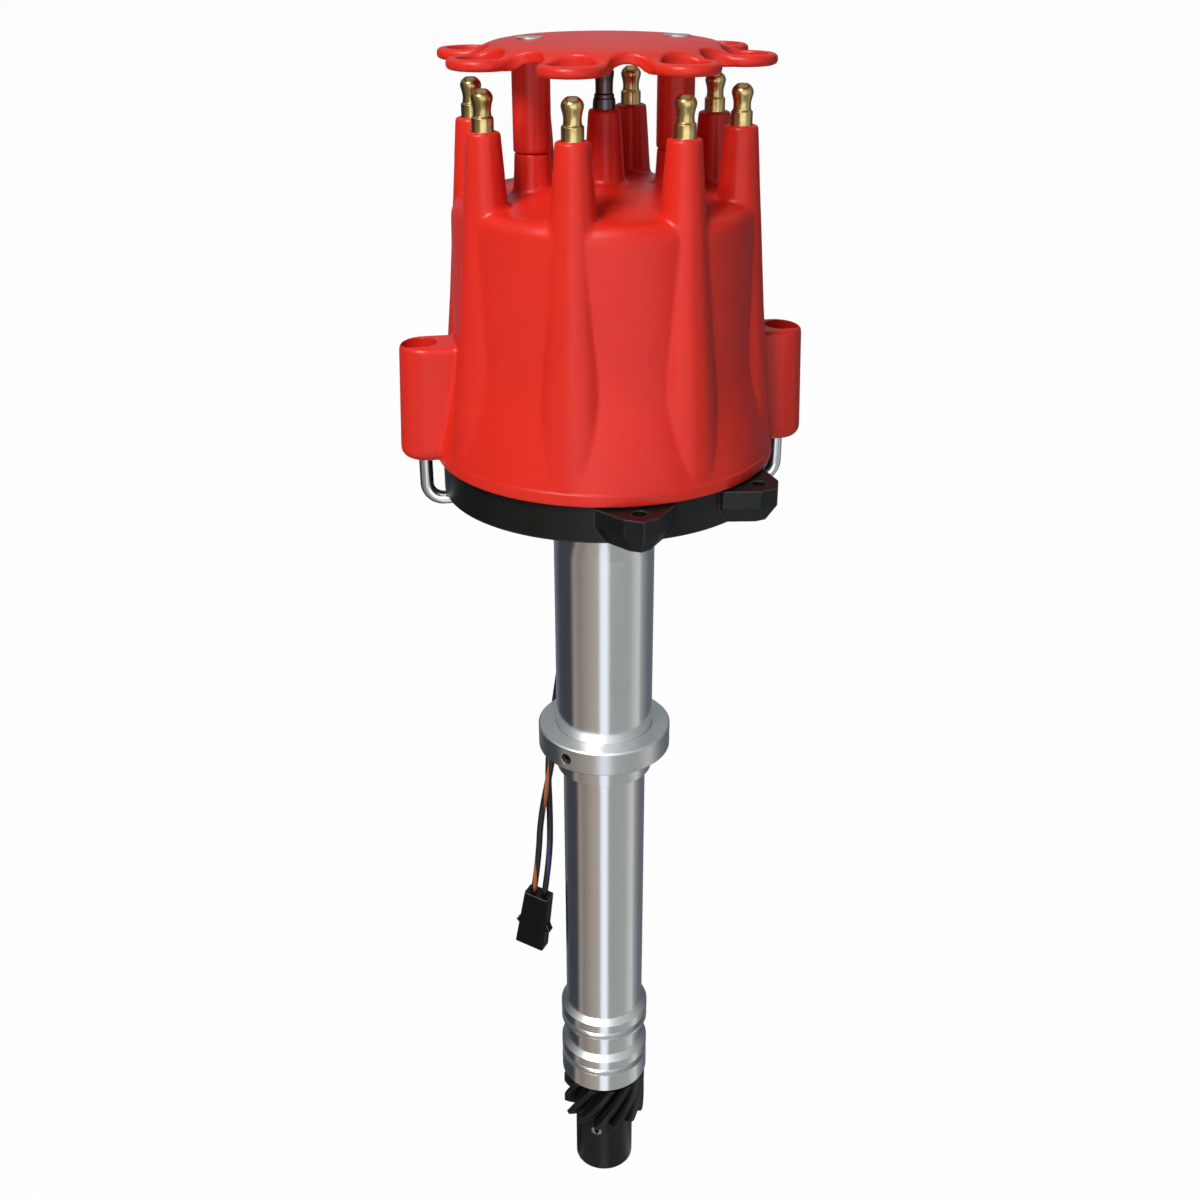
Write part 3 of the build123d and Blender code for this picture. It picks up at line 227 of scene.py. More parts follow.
def insulation(name, stripe_colour, stripe_start):
    """Black insulation with one printed stripe that winds slowly along the wire."""
    stripe_share = 0.2
    turns_per_metre = 24.0
    f = Finish(name)
    grime = f.noise(900, 4)
    uv = f.node("SeparateXYZ", None, f.place(source="UV"))
    round_wire = uv
    along = Value(f, uv.socket.node.outputs["Y"])
    turn = f.node("Math", {"operation": "FRACT"}, round_wire + along * turns_per_metre + stripe_start)
    off_centre = f.node("Math", {"operation": "ABSOLUTE"}, turn - 0.5)
    stripe = 1 - off_centre.between(stripe_share / 2, stripe_share / 2 + 0.03)
    black = f.mix(grime, (0.010, 0.010, 0.011), (0.022, 0.021, 0.022))
    print_colour = f.mix(grime, stripe_colour, tuple(c * 0.8 for c in stripe_colour))
    f.wear(Base_Color=f.mix(stripe, black, print_colour), Roughness=0.34 + 0.14 * grime,
           Normal=f.relief(f.noise(1400, 2), 0.00002))
    return f


def wire(name, node, start_side, entry_side, route, stripe_colour, stripe_start):
    """A tube swept along the smooth line that the route's points control."""
    azimuth = radians(grommet_azimuth) + start_side * asin(wire_apart / 2 / grommet_out)
    start = Vector((grommet_out * sin(azimuth), -grommet_out * cos(azimuth), lead_start_z))
    points = [start * mm, Vector((start.x, start.y, route[0])) * mm]
    points += [Vector(point) * mm for point in route[1:]]
    side = entry_side * connector_pitch / 2 * mm
    points += [connector_place @ Vector((side, 0, rise)) for rise in (last_straight * mm, 0)]
    line = bpy.data.curves.new(name + "_line", "CURVE")
    line.dimensions = "3D"
    line.resolution_u = 12
    spline = line.splines.new("NURBS")
    spline.points.add(len(points) - 1)
    for control, point in zip(spline.points, points):
        control.co = (*point, 1.0)
    spline.order_u = 3
    spline.use_endpoint_u = True
    carrier = bpy.data.objects.new(name + "_line", line)
    bpy.context.scene.collection.objects.link(carrier)
    traced = bpy.data.meshes.new_from_object(carrier)
    path = [vertex.co.copy() for vertex in traced.vertices]
    bpy.data.objects.remove(carrier)
    sides = 20
    corners, faces, uvs = [], [], []
    travelled = 0.0
    across = Vector((1, 0, 0))
    distances = [0.0]
    for a, b in zip(path, path[1:]):
        travelled += (b - a).length
        distances.append(travelled)
    for index, point in enumerate(path):
        ahead = (path[min(index + 1, len(path) - 1)] - path[max(index - 1, 0)]).normalized()
        across = (across - ahead * across.dot(ahead)).normalized()
        up = ahead.cross(across)
        for step in range(sides):
            angle = 2 * pi * step / sides
            corners.append(point + (across * cos(angle) + up * sin(angle)) * wire_d / 2)
    for ring in range(len(path) - 1):
        for step in range(sides):
            after = (step + 1) % sides
            faces.append((ring * sides + step, ring * sides + after,
                          (ring + 1) * sides + after, (ring + 1) * sides + step))
            uvs += [(step / sides, distances[ring]), ((step + 1) / sides, distances[ring]),
                    ((step + 1) / sides, distances[ring + 1]), (step / sides, distances[ring + 1])]
    first, last = tuple(reversed(range(sides))), tuple(range(len(corners) - sides, len(corners)))
    uvs += [(step / sides, 0.0) for step in first] + [(step / sides, travelled) for step in range(sides)]
    mesh = bpy.data.meshes.new(name)
    mesh.from_pydata(corners, [], [*faces, first, last])
    layer = mesh.uv_layers.new(name="UVMap")
    for loop, uv in zip(layer.data, uvs):
        loop.uv = uv
    piece = bpy.data.objects.new(name, mesh)
    bpy.context.scene.collection.objects.link(piece)
    mesh.shade_smooth()
    dress(piece, insulation(name, stripe_colour, stripe_start))
    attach(piece, "body")
    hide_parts(node)
    return piece


wire("lead_wire_orange", "wire_orange_stripe", 1, -1, [
    79, (-8.8, 27.9, 55), (-9.2, 25.0, 32), (-10.7, 22.3, 8),
    (-14.6, 21.2, -19), (-19.4, 21.4, -43)], (0.46, 0.13, 0.045), 0.08)
wire("lead_wire_violet", "wire_violet_stripe", -1, 1, [
    81, (-6.9, 29.4, 56), (-8.0, 27.8, 31), (-11.9, 26.4, 7),
    (-16.0, 25.0, -20), (-15.4, 24.2, -47)], (0.055, 0.040, 0.16), 0.35)

# Studio: a pale floor under the shaft's foot, a wide soft lamp at the left front, and weaker ones round it.
# Polished metal mirrors the room, so what it sees there changes round the object: a narrow bright
# strip in front, grey walls beside it, and a dark side.
floor_z = cad_box[0][2]
plain, warm, cool, green = (1.0, 1.0, 1.0), (1.14, 0.99, 0.87), (0.88, 0.97, 1.15), (0.97, 1.04, 0.99)
room = ((-180, 0.30, cool), (-150, 0.16, cool), (-125, 0.06, cool), (-82, 0.05, cool), (-74, 0.30, warm),
        (-60, 0.20, warm), (-30, 0.34, warm), (-11, 0.38, warm), (-9, 1.0, cool), (8, 1.0, plain),
        (12, 0.34, green), (60, 0.36, green), (87, 0.62, plain), (96, 0.30, plain), (120, 0.15, cool),
        (150, 0.14, cool), (180, 0.30, cool))
overhead = (0.48, 0.54, 0.53)
overhead_start = 0.25
overhead_full = 0.75
panel_start, panel_end, panel_blur = 0, 42, 8
panel_glow = 1.9
panel_tint = (0.94, 0.97, 1.06)


def room_glow(f, direction, far):
    """How bright the room is in a direction, by its azimuth from the camera's side.
    Far off at the right front stands a white panel."""
    parts = f.node("SeparateXYZ", None, direction)
    x, y, z = (Value(f, parts.socket.node.outputs[name]) for name in "XYZ")
    azimuth = f.node("Math", {"operation": "ARCTAN2"}, x, 0 - y) * (180 / pi)
    turned = azimuth - camera_azimuth + 540
    share = f.node("Math", {"operation": "MODULO"}, turned, 360.0) / 360
    stops = [((angle + 180) / 360, tuple(level * share for share in tint)) for angle, level, tint in room]
    walls = f.node("ValToRGB", {"stops": stops}, share)
    side = share * 360 - 180
    panel = side.between(panel_start - panel_blur, panel_start + panel_blur)
    panel = panel * (1 - side.between(panel_end - panel_blur, panel_end + panel_blur)) * far
    walls = f.mix(panel, walls, tuple(panel_glow * tint for tint in panel_tint))
    return f.mix(z.between(overhead_start, overhead_full), walls, overhead)


world = bpy.data.worlds.new("studio")
bpy.context.scene.world = world
world.use_nodes = True
world_finish = Finish("studio", world)
toward = world_finish.node("TexCoord", output="Generated")
is_camera = world_finish.node("LightPath", output="Is Camera Ray")
is_glossy = world_finish.node("LightPath", output="Is Glossy Ray")
soft_light = (0.045, 0.045, 0.05)
seen = world_finish.mix(is_glossy, soft_light, room_glow(world_finish, toward, 1.0))
seen = world_finish.mix(is_camera, seen, (1.0, 1.0, 1.0))
world.node_tree.links.new(seen.socket, world.node_tree.nodes["Background"].inputs["Color"])

bpy.ops.mesh.primitive_plane_add(size=80, location=(0, 0, floor_z))
floor = bpy.context.object
floor.name = "floor"
floor_finish = Finish("floor")
spot = floor_finish.node("TexCoord", output="Object")
is_camera = floor_finish.node("LightPath", output="Is Camera Ray")
is_glossy = floor_finish.node("LightPath", output="Is Glossy Ray")
distance = floor_finish.node("VectorMath", {"operation": "LENGTH"}, spot, output="Value")
glow = floor_finish.node("Emission", None, floor_finish.mix(
    is_glossy, (1.0, 1.0, 1.0), room_glow(floor_finish, spot, distance.between(0.7, 1.2))))
paint = floor_finish.node("BsdfDiffuse", None, (0.8, 0.8, 0.8, 1.0))
camera_share = 0.975
share = is_camera * camera_share + is_glossy
surface = floor_finish.node("MixShader", None, share, paint, glow)
floor_finish.tree.links.new(surface.socket, floor_finish.tree.nodes["Material Output"].inputs["Surface"])
dress(floor, floor_finish)


def lamp(name, place, size, power, mirrored=True):
    """A square soft lamp that faces the cap. Polished metal shows it or not."""
    data = bpy.data.lights.new(name, "AREA")
    data.shape = "RECTANGLE"
    data.size, data.size_y = size
    data.energy = power
    lamp_object = bpy.data.objects.new(name, data)
    lamp_object.location = place
    aim = Vector((0, 0, 0.08)) - Vector(place)
    lamp_object.rotation_euler = aim.to_track_quat("-Z", "Y").to_euler()
    lamp_object.visible_glossy = mirrored
    bpy.context.scene.collection.objects.link(lamp_object)
    return lamp_object


lamp("key", (-0.70, -0.85, 1.35), (0.55, 0.55), 26)
lamp("front", (-0.55, -1.45, 0.35), (0.5, 0.9), 2.0)
lamp("side", (1.2, -0.9, 0.5), (0.5, 0.9), 0.6)
lamp("back", (0.5, 1.3, 0.7), (0.6, 0.6), 6, mirrored=False)

# Connector: two-way housing moulded in black nylon, with a latch bump on each side and two brass contacts.
# It hangs on the wires with its open end down.
connector_finish = Finish("black_nylon")
grain = connector_finish.noise(1600, 4)
rub = (connector_finish.edge(0.0005) * 10 * grain).between(0.2, 0.9)
black = connector_finish.mix(grain, (0.003, 0.003, 0.0035), (0.008, 0.008, 0.009))
connector_finish.wear(Base_Color=connector_finish.mix(rub, black, (0.24, 0.24, 0.24)),
                      Roughness=0.26 + 0.12 * grain, Normal=connector_finish.relief(grain, 0.00002, 0.0003))
connector_finish.shader.inputs["Specular IOR Level"].default_value = 0.16
dress(nodes["connector"], connector_finish)


# Brass pieces: contacts of the connector, the rotor's contact and the eight spark plug terminals.
# Turned or stamped from brass strip and rod, bright with fine tool marks.
def brass(name):
    f = Finish(name)
    marks = f.noise(60, 3, 0.6, (1, 1, 60))
    tarnish = f.noise(260, 3)
    f.wear(Base_Color=f.mix(tarnish.between(0.35, 0.7), (0.56, 0.43, 0.19), (0.40, 0.30, 0.11)),
           Metallic=1.0, Roughness=0.22 + 0.10 * tarnish, Normal=f.relief(marks, 0.00001, 0.0002))
    return f


bright_brass = brass("bright_brass")
dress(nodes["connector_terminals"], bright_brass)


# Housing: one piece of aluminium, turned and polished: bowl, flare, neck, long tube, two grooved lands.
# Fine turning marks run round it; the faces that look up are rougher, and their colour is painted darker as
# shade against the overhead glare.
def aluminium(name, tone, rough, mark_depth, edge_r):
    f = Finish(name)
    marks = f.noise(14, 4, 0.7, (1, 1, 220))
    cloud = f.noise(90, 3)
    dull = tuple(c * 0.93 for c in tone)
    facing = f.node("SeparateXYZ", None, f.node("NewGeometry", output="Normal"))
    up_facing_shade_and_dull = Value(f, facing.socket.node.outputs["Z"]).between(0.2, 0.7)
    # Painted shade: faces that look up are mixed towards two thirds of the tone, which dims the overhead glare
    # they mirror; the same mask makes them rougher.
    colour = f.mix(up_facing_shade_and_dull * 0.8, f.mix(cloud, dull, tone), tuple(c * 0.66 for c in tone))
    f.wear(Base_Color=colour, Metallic=1.0, Roughness=rough + 0.08 * cloud + 0.2 * up_facing_shade_and_dull,
           Normal=f.relief(marks, mark_depth, edge_r))
    return f


dress(nodes["housing"], aluminium("polished_aluminium", (0.90, 0.91, 0.92), 0.14, 0.000008, 0.0002))


# Ground and plated steel: shaft, bearing races, washers, advance plates, screws, clips and rings.
# The shaft turns in the bearing's inner race, the advance sits on its top, and screws hold the rest.
def steel(name, tone, rough, edge_r=0.0002):
    f = Finish(name)
    marks = f.noise(40, 3, 0.6, (1, 1, 80))
    cloud = f.noise(400, 3)
    dull = tuple(c * 0.85 for c in tone)
    f.wear(Base_Color=f.mix(cloud, dull, tone), Metallic=1.0, Roughness=rough + 0.12 * cloud,
           Normal=f.relief(marks, 0.00001, edge_r))
    return f


ground_steel = steel("ground_steel", (0.60, 0.60, 0.61), 0.22)
zinc_steel = steel("zinc_steel", (0.72, 0.72, 0.68), 0.32)
bright_steel = steel("bright_steel", (0.84, 0.84, 0.85), 0.12)
for name in ("shaft", "upper_bearing_outer_race", "upper_bearing_inner_race", "thrust_washers", "cam_plate",
             "advance_base", "reluctor", "advance_weight_1", "advance_weight_2", "gear_roll_pin"):
    dress(nodes[name], ground_steel)
for name in ("bearing_snap_ring", "base_ring_screws", "wire_retainer_screws", "pickup_bracket",
             "pickup_screws", "cam_clip", "rotor_screws", "latch_washer_left", "latch_washer_right"):
    dress(nodes[name], zinc_steel)
for name in ("upper_bearing_balls", "button_spring", "latch_screw_left", "latch_screw_right"):
    dress(nodes[name], bright_steel)
dress(nodes["rotor_contact"], bright_brass)


# Springs: each latch spring stands on its ear's shelf and is pressed together by the washer above it.
# Each advance spring lies between a weight's pin and a post of the cam plate, with an eye round each.
def only(piece):
    """Makes one piece the whole selection."""
    clear_choice()
    piece.select_set(True)
    bpy.context.view_layer.objects.active = piece
    return piece


def merged_copy(node, name):
    """A copy of a node's mesh with its loose triangles joined."""
    piece = bpy.data.objects.new(name, nodes[node].data.copy())
    bpy.context.scene.collection.objects.link(piece)
    only(piece)
    bpy.ops.object.mode_set(mode="EDIT")
    bpy.ops.mesh.select_all(action="SELECT")
    bpy.ops.mesh.remove_doubles(threshold=0.000001)
    bpy.ops.mesh.customdata_custom_splitnormals_clear()
    bpy.ops.object.mode_set(mode="OBJECT")
    return piece


latch_circle_r, ear_shelf, latch_spring_length, latch_travel = 53.9, 119.0, 9.5, 2.0
for side, name in ((-1, "left"), (1, "right")):
    spring = dress(nodes[f"latch_spring_{name}"], bright_steel)
    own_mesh(spring)
for side, number in ((1, 1), (-1, 2)):
    spring = dress(merged_copy(f"advance_spring_{number}", f"weight_spring_{number}"), bright_steel)
    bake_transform(spring)
    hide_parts(f"advance_spring_{number}")

# Sintered bronze: the lower bushing, pressed into the housing's foot, and the stop's bushing on its pin.
# Both are made from metal powder and soaked in oil, so they are dull and full of fine pores.
bronze = Finish("sintered_bronze")
pores = bronze.noise(2500, 3)
bronze.wear(Base_Color=bronze.mix(pores, (0.42, 0.26, 0.12), (0.60, 0.40, 0.22)), Metallic=1.0,
            Roughness=0.4 + 0.2 * pores, Normal=bronze.relief(pores, 0.00003))
dress(nodes["lower_bushing"], bronze)
dress(nodes["stop_bushing"], bronze)


# Rubber: bearing seals, held between the races, and the grommet where the lead leaves the bowl's floor.
# Plain black and matt.
def dark(name, low, high, rough, grain_size, depth, edge_r, wear=0.0, bare=(0.3, 0.3, 0.3)):
    """A black piece with a fine grain; worn edges show what is under it."""
    f = Finish(name)
    grain = f.noise(grain_size, 4)
    cloud = f.noise(120, 3)
    colour = f.mix(cloud, low, high)
    if wear:
        rub = (f.edge(edge_r * 2) * 14 * grain).between(0.25, 1.0) * wear
        colour = f.mix(rub, colour, bare)
    f.wear(Base_Color=colour, Roughness=rough + 0.15 * grain, Normal=f.relief(grain, depth, edge_r))
    f.shader.inputs["Specular IOR Level"].default_value = 0.28
    return f


rubber = dark("black_rubber", (0.010, 0.010, 0.010), (0.025, 0.025, 0.025), 0.6, 1500, 0.00003, 0.0002)
dress(nodes["upper_bearing_seals"], rubber)
dress(nodes["lead_grommet"], rubber)

# Drive gear: steel, cut with right-hand helical teeth, black oxide all over.
# A roll pin through its hub holds it on the shaft.
black_oxide = dark("black_oxide", (0.008, 0.008, 0.009), (0.020, 0.020, 0.022), 0.30, 700, 0.00003,
                   0.0003, 0.5, (0.12, 0.12, 0.12))
black_oxide.wear(Metallic=0.4)
dress(nodes["drive_gear"], black_oxide)

# Slip collar: machined aluminium ring that slides on the neck.
# Three black socket set screws hold it at the height that the engine needs.
dress(nodes["slip_collar"], aluminium("machined_aluminium", (0.84, 0.85, 0.86), 0.24, 0.00002, 0.0003))
dress(nodes["collar_set_screws"], black_oxide)

# Base ring: black ring screwed on the bowl, with faceted lugs whose edges are rubbed bare.
# The pickup has the same black skin, and the cap's centre button is pressed carbon.
black_ring = dark("black_ring", (0.003, 0.0035, 0.0035), (0.010, 0.011, 0.011), 0.30, 900, 0.00005,
                  0.0004, 0.6, (0.10, 0.095, 0.085))
dress(nodes["base_ring"], black_ring)
dress(nodes["magnetic_pickup"], black_ring)
carbon = dark("carbon", (0.015, 0.015, 0.015), (0.04, 0.04, 0.04), 0.5, 2500, 0.00004, 0.0002)
dress(nodes["carbon_button"], carbon)


# Rotor: red moulding screwed on the advance's base, with a brass contact strip on top.
# The cap and the wire retainer are moulded from the same satin red compound.
def red(name, edge_r):
    f = Finish(name)
    cloud = f.noise(45, 3)
    skin = f.noise(1300, 3)
    ripple = f.noise(160, 2)
    colour = f.mix(cloud, (0.66, 0.018, 0.008), (0.78, 0.026, 0.013))
    f.wear(Base_Color=colour, Roughness=0.30 + 0.06 * skin + 0.05 * cloud,
           Normal=f.relief(ripple + skin * 0.15, 0.0001, edge_r))
    f.shader.inputs["Specular IOR Level"].default_value = 0.38
    return f


red_moulding = red("red_moulding", 0.0006)
dress(nodes["rotor"], red_moulding)

# Cap: one hollow moulding that sits on the base ring and is pulled down by the latches.
# Eight towers hold the plug terminals. Their outer sides run down into fins that end in a point.
# An ear on each side has a deep round recess for its latch, and two posts carry the wire retainer.
ring_top = 105.2
rim_r, rim_height, rim_step = 50.3, 3.5, 0.3
flare_top_r, flare_top = 44.0, 135.5
shoulder_r, shoulder = 42.85, 178.6
roof_rise = 4.8
roof_wall, side_wall = 3.6, 3.3
foot_bend, edge_bend = 0.22, 0.11
tower_circle_r = 37.75
tower_top, tower_top_r, tower_edge_r = 199.0, 4.65, 0.8
tower_waist, tower_waist_r = 150.0, 8.4
fin_end, fin_end_r = 108.8, 12.35
tower_count = 8
cap_voxel, cap_soft_steps, cap_kept_share = 0.55, 16, 0.4
blend_low, blend_high, blend_elsewhere = 176, 188, 0.07
bore_r, bore_depth = 3.2, 6.0
rod_r = 2.45
boss_low, boss_r = 150.0, 4.1
coil_tower_top, coil_tower_foot_r, coil_tower_top_r, coil_edge_r = 202.1, 6.1, 4.4, 0.7
coil_boss_r, coil_boss_high = 6.0, 190
post_circle_r, post_top = 20.0, 191.2
post_foot_r, post_top_r = 5.7, 4.95
post_hole_r, post_hole_depth = 1.95, 12
ear_low, ear_top = 105.5, 139.6
ear_reach, ear_lean, ear_half = 61.0, 1.4, 7.9
ear_recess_r, ear_hole_r = 5.2, 2.15
ear_top_edge_r, ear_low_edge_r, ear_root = 1.6, 3.2, 14
tower_spots = [(tower_circle_r * sin(radians(turn)), -tower_circle_r * cos(radians(turn)))
               for turn in (360 / tower_count * (number - 0.5) for number in range(tower_count))]


def spun(name, outline, at=(0.0, 0.0), steps=72):
    """A closed shell turned about an upright axis from (radius, height) points in mm."""
    mesh = bpy.data.meshes.new(name)
    mesh.from_pydata([((at[0] + radius) * mm, at[1] * mm, height * mm) for radius, height in outline],
                     [(index, index + 1) for index in range(len(outline) - 1)], [])
    piece = bpy.data.objects.new(name, mesh)
    bpy.context.scene.collection.objects.link(piece)
    only(piece)
    bpy.ops.object.mode_set(mode="EDIT")
    bpy.ops.mesh.select_all(action="SELECT")
    bpy.ops.mesh.spin(steps=steps, angle=2 * pi, center=(at[0] * mm, at[1] * mm, 0), axis=(0, 0, 1))
    bpy.ops.mesh.select_all(action="SELECT")
    bpy.ops.mesh.remove_doubles(threshold=0.002 * mm)
    bpy.ops.mesh.normals_make_consistent(inside=False)
    bpy.ops.object.mode_set(mode="OBJECT")
    return piece


def joined(pieces):
    """Several pieces as one object."""
    clear_choice()
    for piece in pieces:
        piece.select_set(True)
    bpy.context.view_layer.objects.active = pieces[0]
    bpy.ops.object.join()
    return pieces[0]


def finished(piece, kind, **settings):
    """Adds a modifier to a piece and applies it."""
    only(piece)
    modifier = piece.modifiers.new(kind.lower(), kind)
    for key, value in settings.items():
        setattr(modifier, key, value)
    bpy.ops.object.modifier_apply(modifier=modifier.name)
    return piece


def carved(piece, tool, operation="DIFFERENCE"):
    """Cuts a tool out of a piece, or adds it, and removes the tool."""
    finished(piece, "BOOLEAN", object=tool, operation=operation, solver="MANIFOLD")
    bpy.data.objects.remove(tool)
    return piece


def arc(centre, radius, start, end, steps):
    """Points of an arc in an outline, by angles in degrees from the outward direction."""
    turns = [radians(start + (end - start) * step / steps) for step in range(steps + 1)]
    return [(centre[0] + radius * cos(turn), centre[1] + radius * sin(turn)) for turn in turns]


def softened(low, corner, high, share, steps=8):
    """The corner between two straight runs as a smooth bend that takes a share of each run."""
    low, corner, high = Vector(low), Vector(corner), Vector(high)
    near, far = corner.lerp(low, share), corner.lerp(high, share)
    spots = [step / steps for step in range(steps + 1)]
    return [tuple(near.lerp(corner, s).lerp(corner.lerp(far, s), s)) for s in spots]


def cap_outline(wall, roof, low):
    """The cap's turned outside, or its hollow when given the wall's thickness."""
    rim = rim_r - rim_step - wall
    foot, waist = (rim, ring_top + rim_height), (flare_top_r - wall, flare_top)
    edge, crown = (shoulder_r - wall, shoulder - roof), (0, shoulder - roof + roof_rise)
    return [(0, low), (rim, low), foot, *softened(foot, waist, edge, foot_bend),
            *softened(waist, edge, crown, edge_bend), crown]


def ear(side):
    """An upright lobe: a round bar whose inner half is drawn back into the cap."""
    bpy.ops.object.select_all(action="DESELECT")
    middle = ear_reach - ear_half
    bpy.ops.mesh.primitive_cylinder_add(vertices=64, radius=ear_half * mm, depth=(ear_top - ear_low) * mm,
                                        location=(side * middle * mm, 0, (ear_top + ear_low) / 2 * mm))
    lobe = bpy.context.object
    bpy.ops.object.transform_apply(location=True)
    bpy.ops.object.mode_set(mode="EDIT")
    bpy.ops.mesh.select_all(action="DESELECT")
    bpy.ops.object.mode_set(mode="OBJECT")
    for vertex in lobe.data.vertices:
        vertex.select = side * vertex.co.x < (middle - 0.01) * mm
    bpy.ops.object.mode_set(mode="EDIT")
    bpy.ops.transform.translate(value=(-side * ear_root * mm, 0, 0))
    bpy.ops.mesh.select_all(action="DESELECT")
    bpy.ops.object.mode_set(mode="OBJECT")
    for vertex in lobe.data.vertices:
        vertex.select = vertex.co.z > (ear_top - 0.01) * mm
    bpy.ops.object.mode_set(mode="EDIT")
    bpy.ops.transform.translate(value=(-side * ear_lean * mm, 0, 0))
    bpy.ops.mesh.bevel(offset=ear_top_edge_r * mm, segments=4, affect="EDGES")
    bpy.ops.mesh.select_all(action="DESELECT")
    bpy.ops.object.mode_set(mode="OBJECT")
    for vertex in lobe.data.vertices:
        vertex.select = vertex.co.z < (ear_low + 0.01) * mm
    bpy.ops.object.mode_set(mode="EDIT")
    bpy.ops.mesh.bevel(offset=ear_low_edge_r * mm, segments=6, affect="EDGES")
    bpy.ops.object.mode_set(mode="OBJECT")
    return lobe


shells = [spun("cap", cap_outline(0, 0, ring_top), steps=128)]
for spot in tower_spots:
    shells.append(spun("tower", [(0, fin_end), (fin_end_r, fin_end), (tower_waist_r, tower_waist),
                                 *arc((tower_top_r - tower_edge_r, tower_top - tower_edge_r), tower_edge_r,
                                      0, 90, 4), (0, tower_top)], spot))
for side in (-1, 1):
    shells.append(ear(side))
    shells.append(spun("post", [(0, shoulder), (post_foot_r, shoulder), (post_top_r, post_top), (0, post_top)],
                       (side * post_circle_r, 0)))
shells.append(spun("coil_tower", [(0, shoulder), (coil_tower_foot_r, shoulder),
                                  *arc((coil_tower_top_r - coil_edge_r, coil_tower_top - coil_edge_r),
                                       coil_edge_r, 0, 90, 4), (0, coil_tower_top)]))
cap = finished(joined(shells), "REMESH", mode="VOXEL", voxel_size=cap_voxel * mm)
blends = cap.vertex_groups.new(name="blends")
for vertex in cap.data.vertices:
    at_shoulder = blend_low < vertex.co.z / mm < blend_high
    blends.add([vertex.index], 1.0 if at_shoulder else blend_elsewhere, "REPLACE")
finished(cap, "SMOOTH", factor=0.5, iterations=cap_soft_steps, vertex_group="blends")
finished(cap, "DECIMATE", ratio=cap_kept_share)
hollow = spun("hollow", cap_outline(side_wall, roof_wall, ring_top - 1), steps=96)
bosses = [spun("boss", [(0, boss_low), (boss_r, boss_low), (boss_r, shoulder), (0, shoulder)], spot, 32)
          for spot in tower_spots]
bosses.append(spun("boss", [(0, boss_low), (coil_boss_r, boss_low), (coil_boss_r, coil_boss_high),
                            (0, coil_boss_high)]))
carved(cap, carved(hollow, joined(bosses)))
bores = []
for spot, top in [*((spot, tower_top) for spot in tower_spots), ((0, 0), coil_tower_top)]:
    seat = top - bore_depth
    bores.append(spun("bore", [(0, boss_low - 1), (rod_r, boss_low - 1), (rod_r, seat), (bore_r, seat),
                               (bore_r, top + 1), (0, top + 1)], spot, 48))
for side in (-1, 1):
    bores.append(spun("recess", [(0, ear_low - 1), (ear_hole_r, ear_low - 1), (ear_hole_r, ear_shelf),
                                 (ear_recess_r, ear_shelf), (ear_recess_r, ear_top + 1), (0, ear_top + 1)],
                      (side * latch_circle_r, 0), 64))
    bores.append(spun("hole", [(0, post_top - post_hole_depth), (post_hole_r, post_top - post_hole_depth),
                               (post_hole_r, post_top + 1), (0, post_top + 1)], (side * post_circle_r, 0), 24))
carved(cap, joined(bores))
rim_top, rim_edge_r, rim_bore_r = ring_top + rim_height, 0.5, rim_r - 2.2
rim = spun("rim", [(0, ring_top), (rim_r, ring_top),
                   *arc((rim_r - rim_edge_r, rim_top - rim_edge_r), rim_edge_r, 0, 90, 4),
                   (0, rim_top)], steps=192)
rim_bore = spun("rim_bore", [(0, ring_top - 1), (rim_bore_r, ring_top - 1), (rim_bore_r, ring_top + 5),
                             (0, ring_top + 5)], steps=192)
carved(cap, carved(rim, rim_bore), "UNION")
cap.name = "distributor_cap"
only(cap)
bpy.ops.object.shade_smooth_by_angle(angle=radians(35))
dress(cap, red_moulding)
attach(cap, "body")
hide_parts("cap")

# Wire retainer: one red moulding, a domed plate with a loop for each plug wire, held down on the cap's posts
# by two screws. All its edges are rounded off, and its underside is hollow.
plate_low, loop_top, crown = 214.2, 217.2, 220.6
loop_r, loop_hole_r, loop_edge_r = 9.0, 6.2, 1.2
plate_wall = 2.7
first_voxel, last_voxel, retainer_soft_steps = 0.45, 0.42, 9
bay_r, bay_circle_r = 5.6, 36.6
leg_r, leg_seat = 5.25, 218.7
screw_r, screw_seat_r = 1.95, 3.65
dome = [(0, crown), (14, crown - 0.05), (21, crown - 0.25), (26.5, crown - 0.65), (30.2, crown - 1.3),
        (32.3, crown - 2.0), (34.0, crown - 2.8), (35.8, crown - 3.3)]
underside = [(radius, height - plate_wall) for radius, height in dome[:5]]
plates = [spun("retainer", [*dome, (36.2, loop_top - 0.4), (36.2, plate_low), (33.4, plate_low),
                            *reversed(underside)], steps=128)]
for spot in tower_spots:
    plates.append(spun("loop", [(0, plate_low),
                                *arc((loop_r - loop_edge_r, plate_low + loop_edge_r), loop_edge_r, -90, 0, 4),
                                *arc((loop_r - loop_edge_r, loop_top - loop_edge_r), loop_edge_r, 0, 90, 4),
                                (0, loop_top)], spot, 56))
for side in (-1, 1):
    plates.append(spun("leg", [(0, post_top), (leg_r, post_top), (leg_r, leg_seat), (0, leg_seat)],
                       (side * post_circle_r, 0), 48))
retainer = finished(joined(plates), "REMESH", mode="VOXEL", voxel_size=first_voxel * mm)
cut_low, cut_high = plate_low - 2, crown + 1
gaps = [spun("loop_hole", [(0, cut_low), (loop_hole_r, cut_low), (loop_hole_r, cut_high), (0, cut_high)],
             spot, 56) for spot in tower_spots]
for number in range(tower_count):
    turn = radians(360 / tower_count * number)
    gaps.append(spun("bay", [(0, cut_low), (bay_r, cut_low), (bay_r, cut_high), (0, cut_high)],
                     (bay_circle_r * sin(turn), -bay_circle_r * cos(turn)), 56))
for gap in gaps:
    carved(retainer, gap)
finished(retainer, "REMESH", mode="VOXEL", voxel_size=last_voxel * mm)
finished(retainer, "SMOOTH", factor=0.5, iterations=retainer_soft_steps)
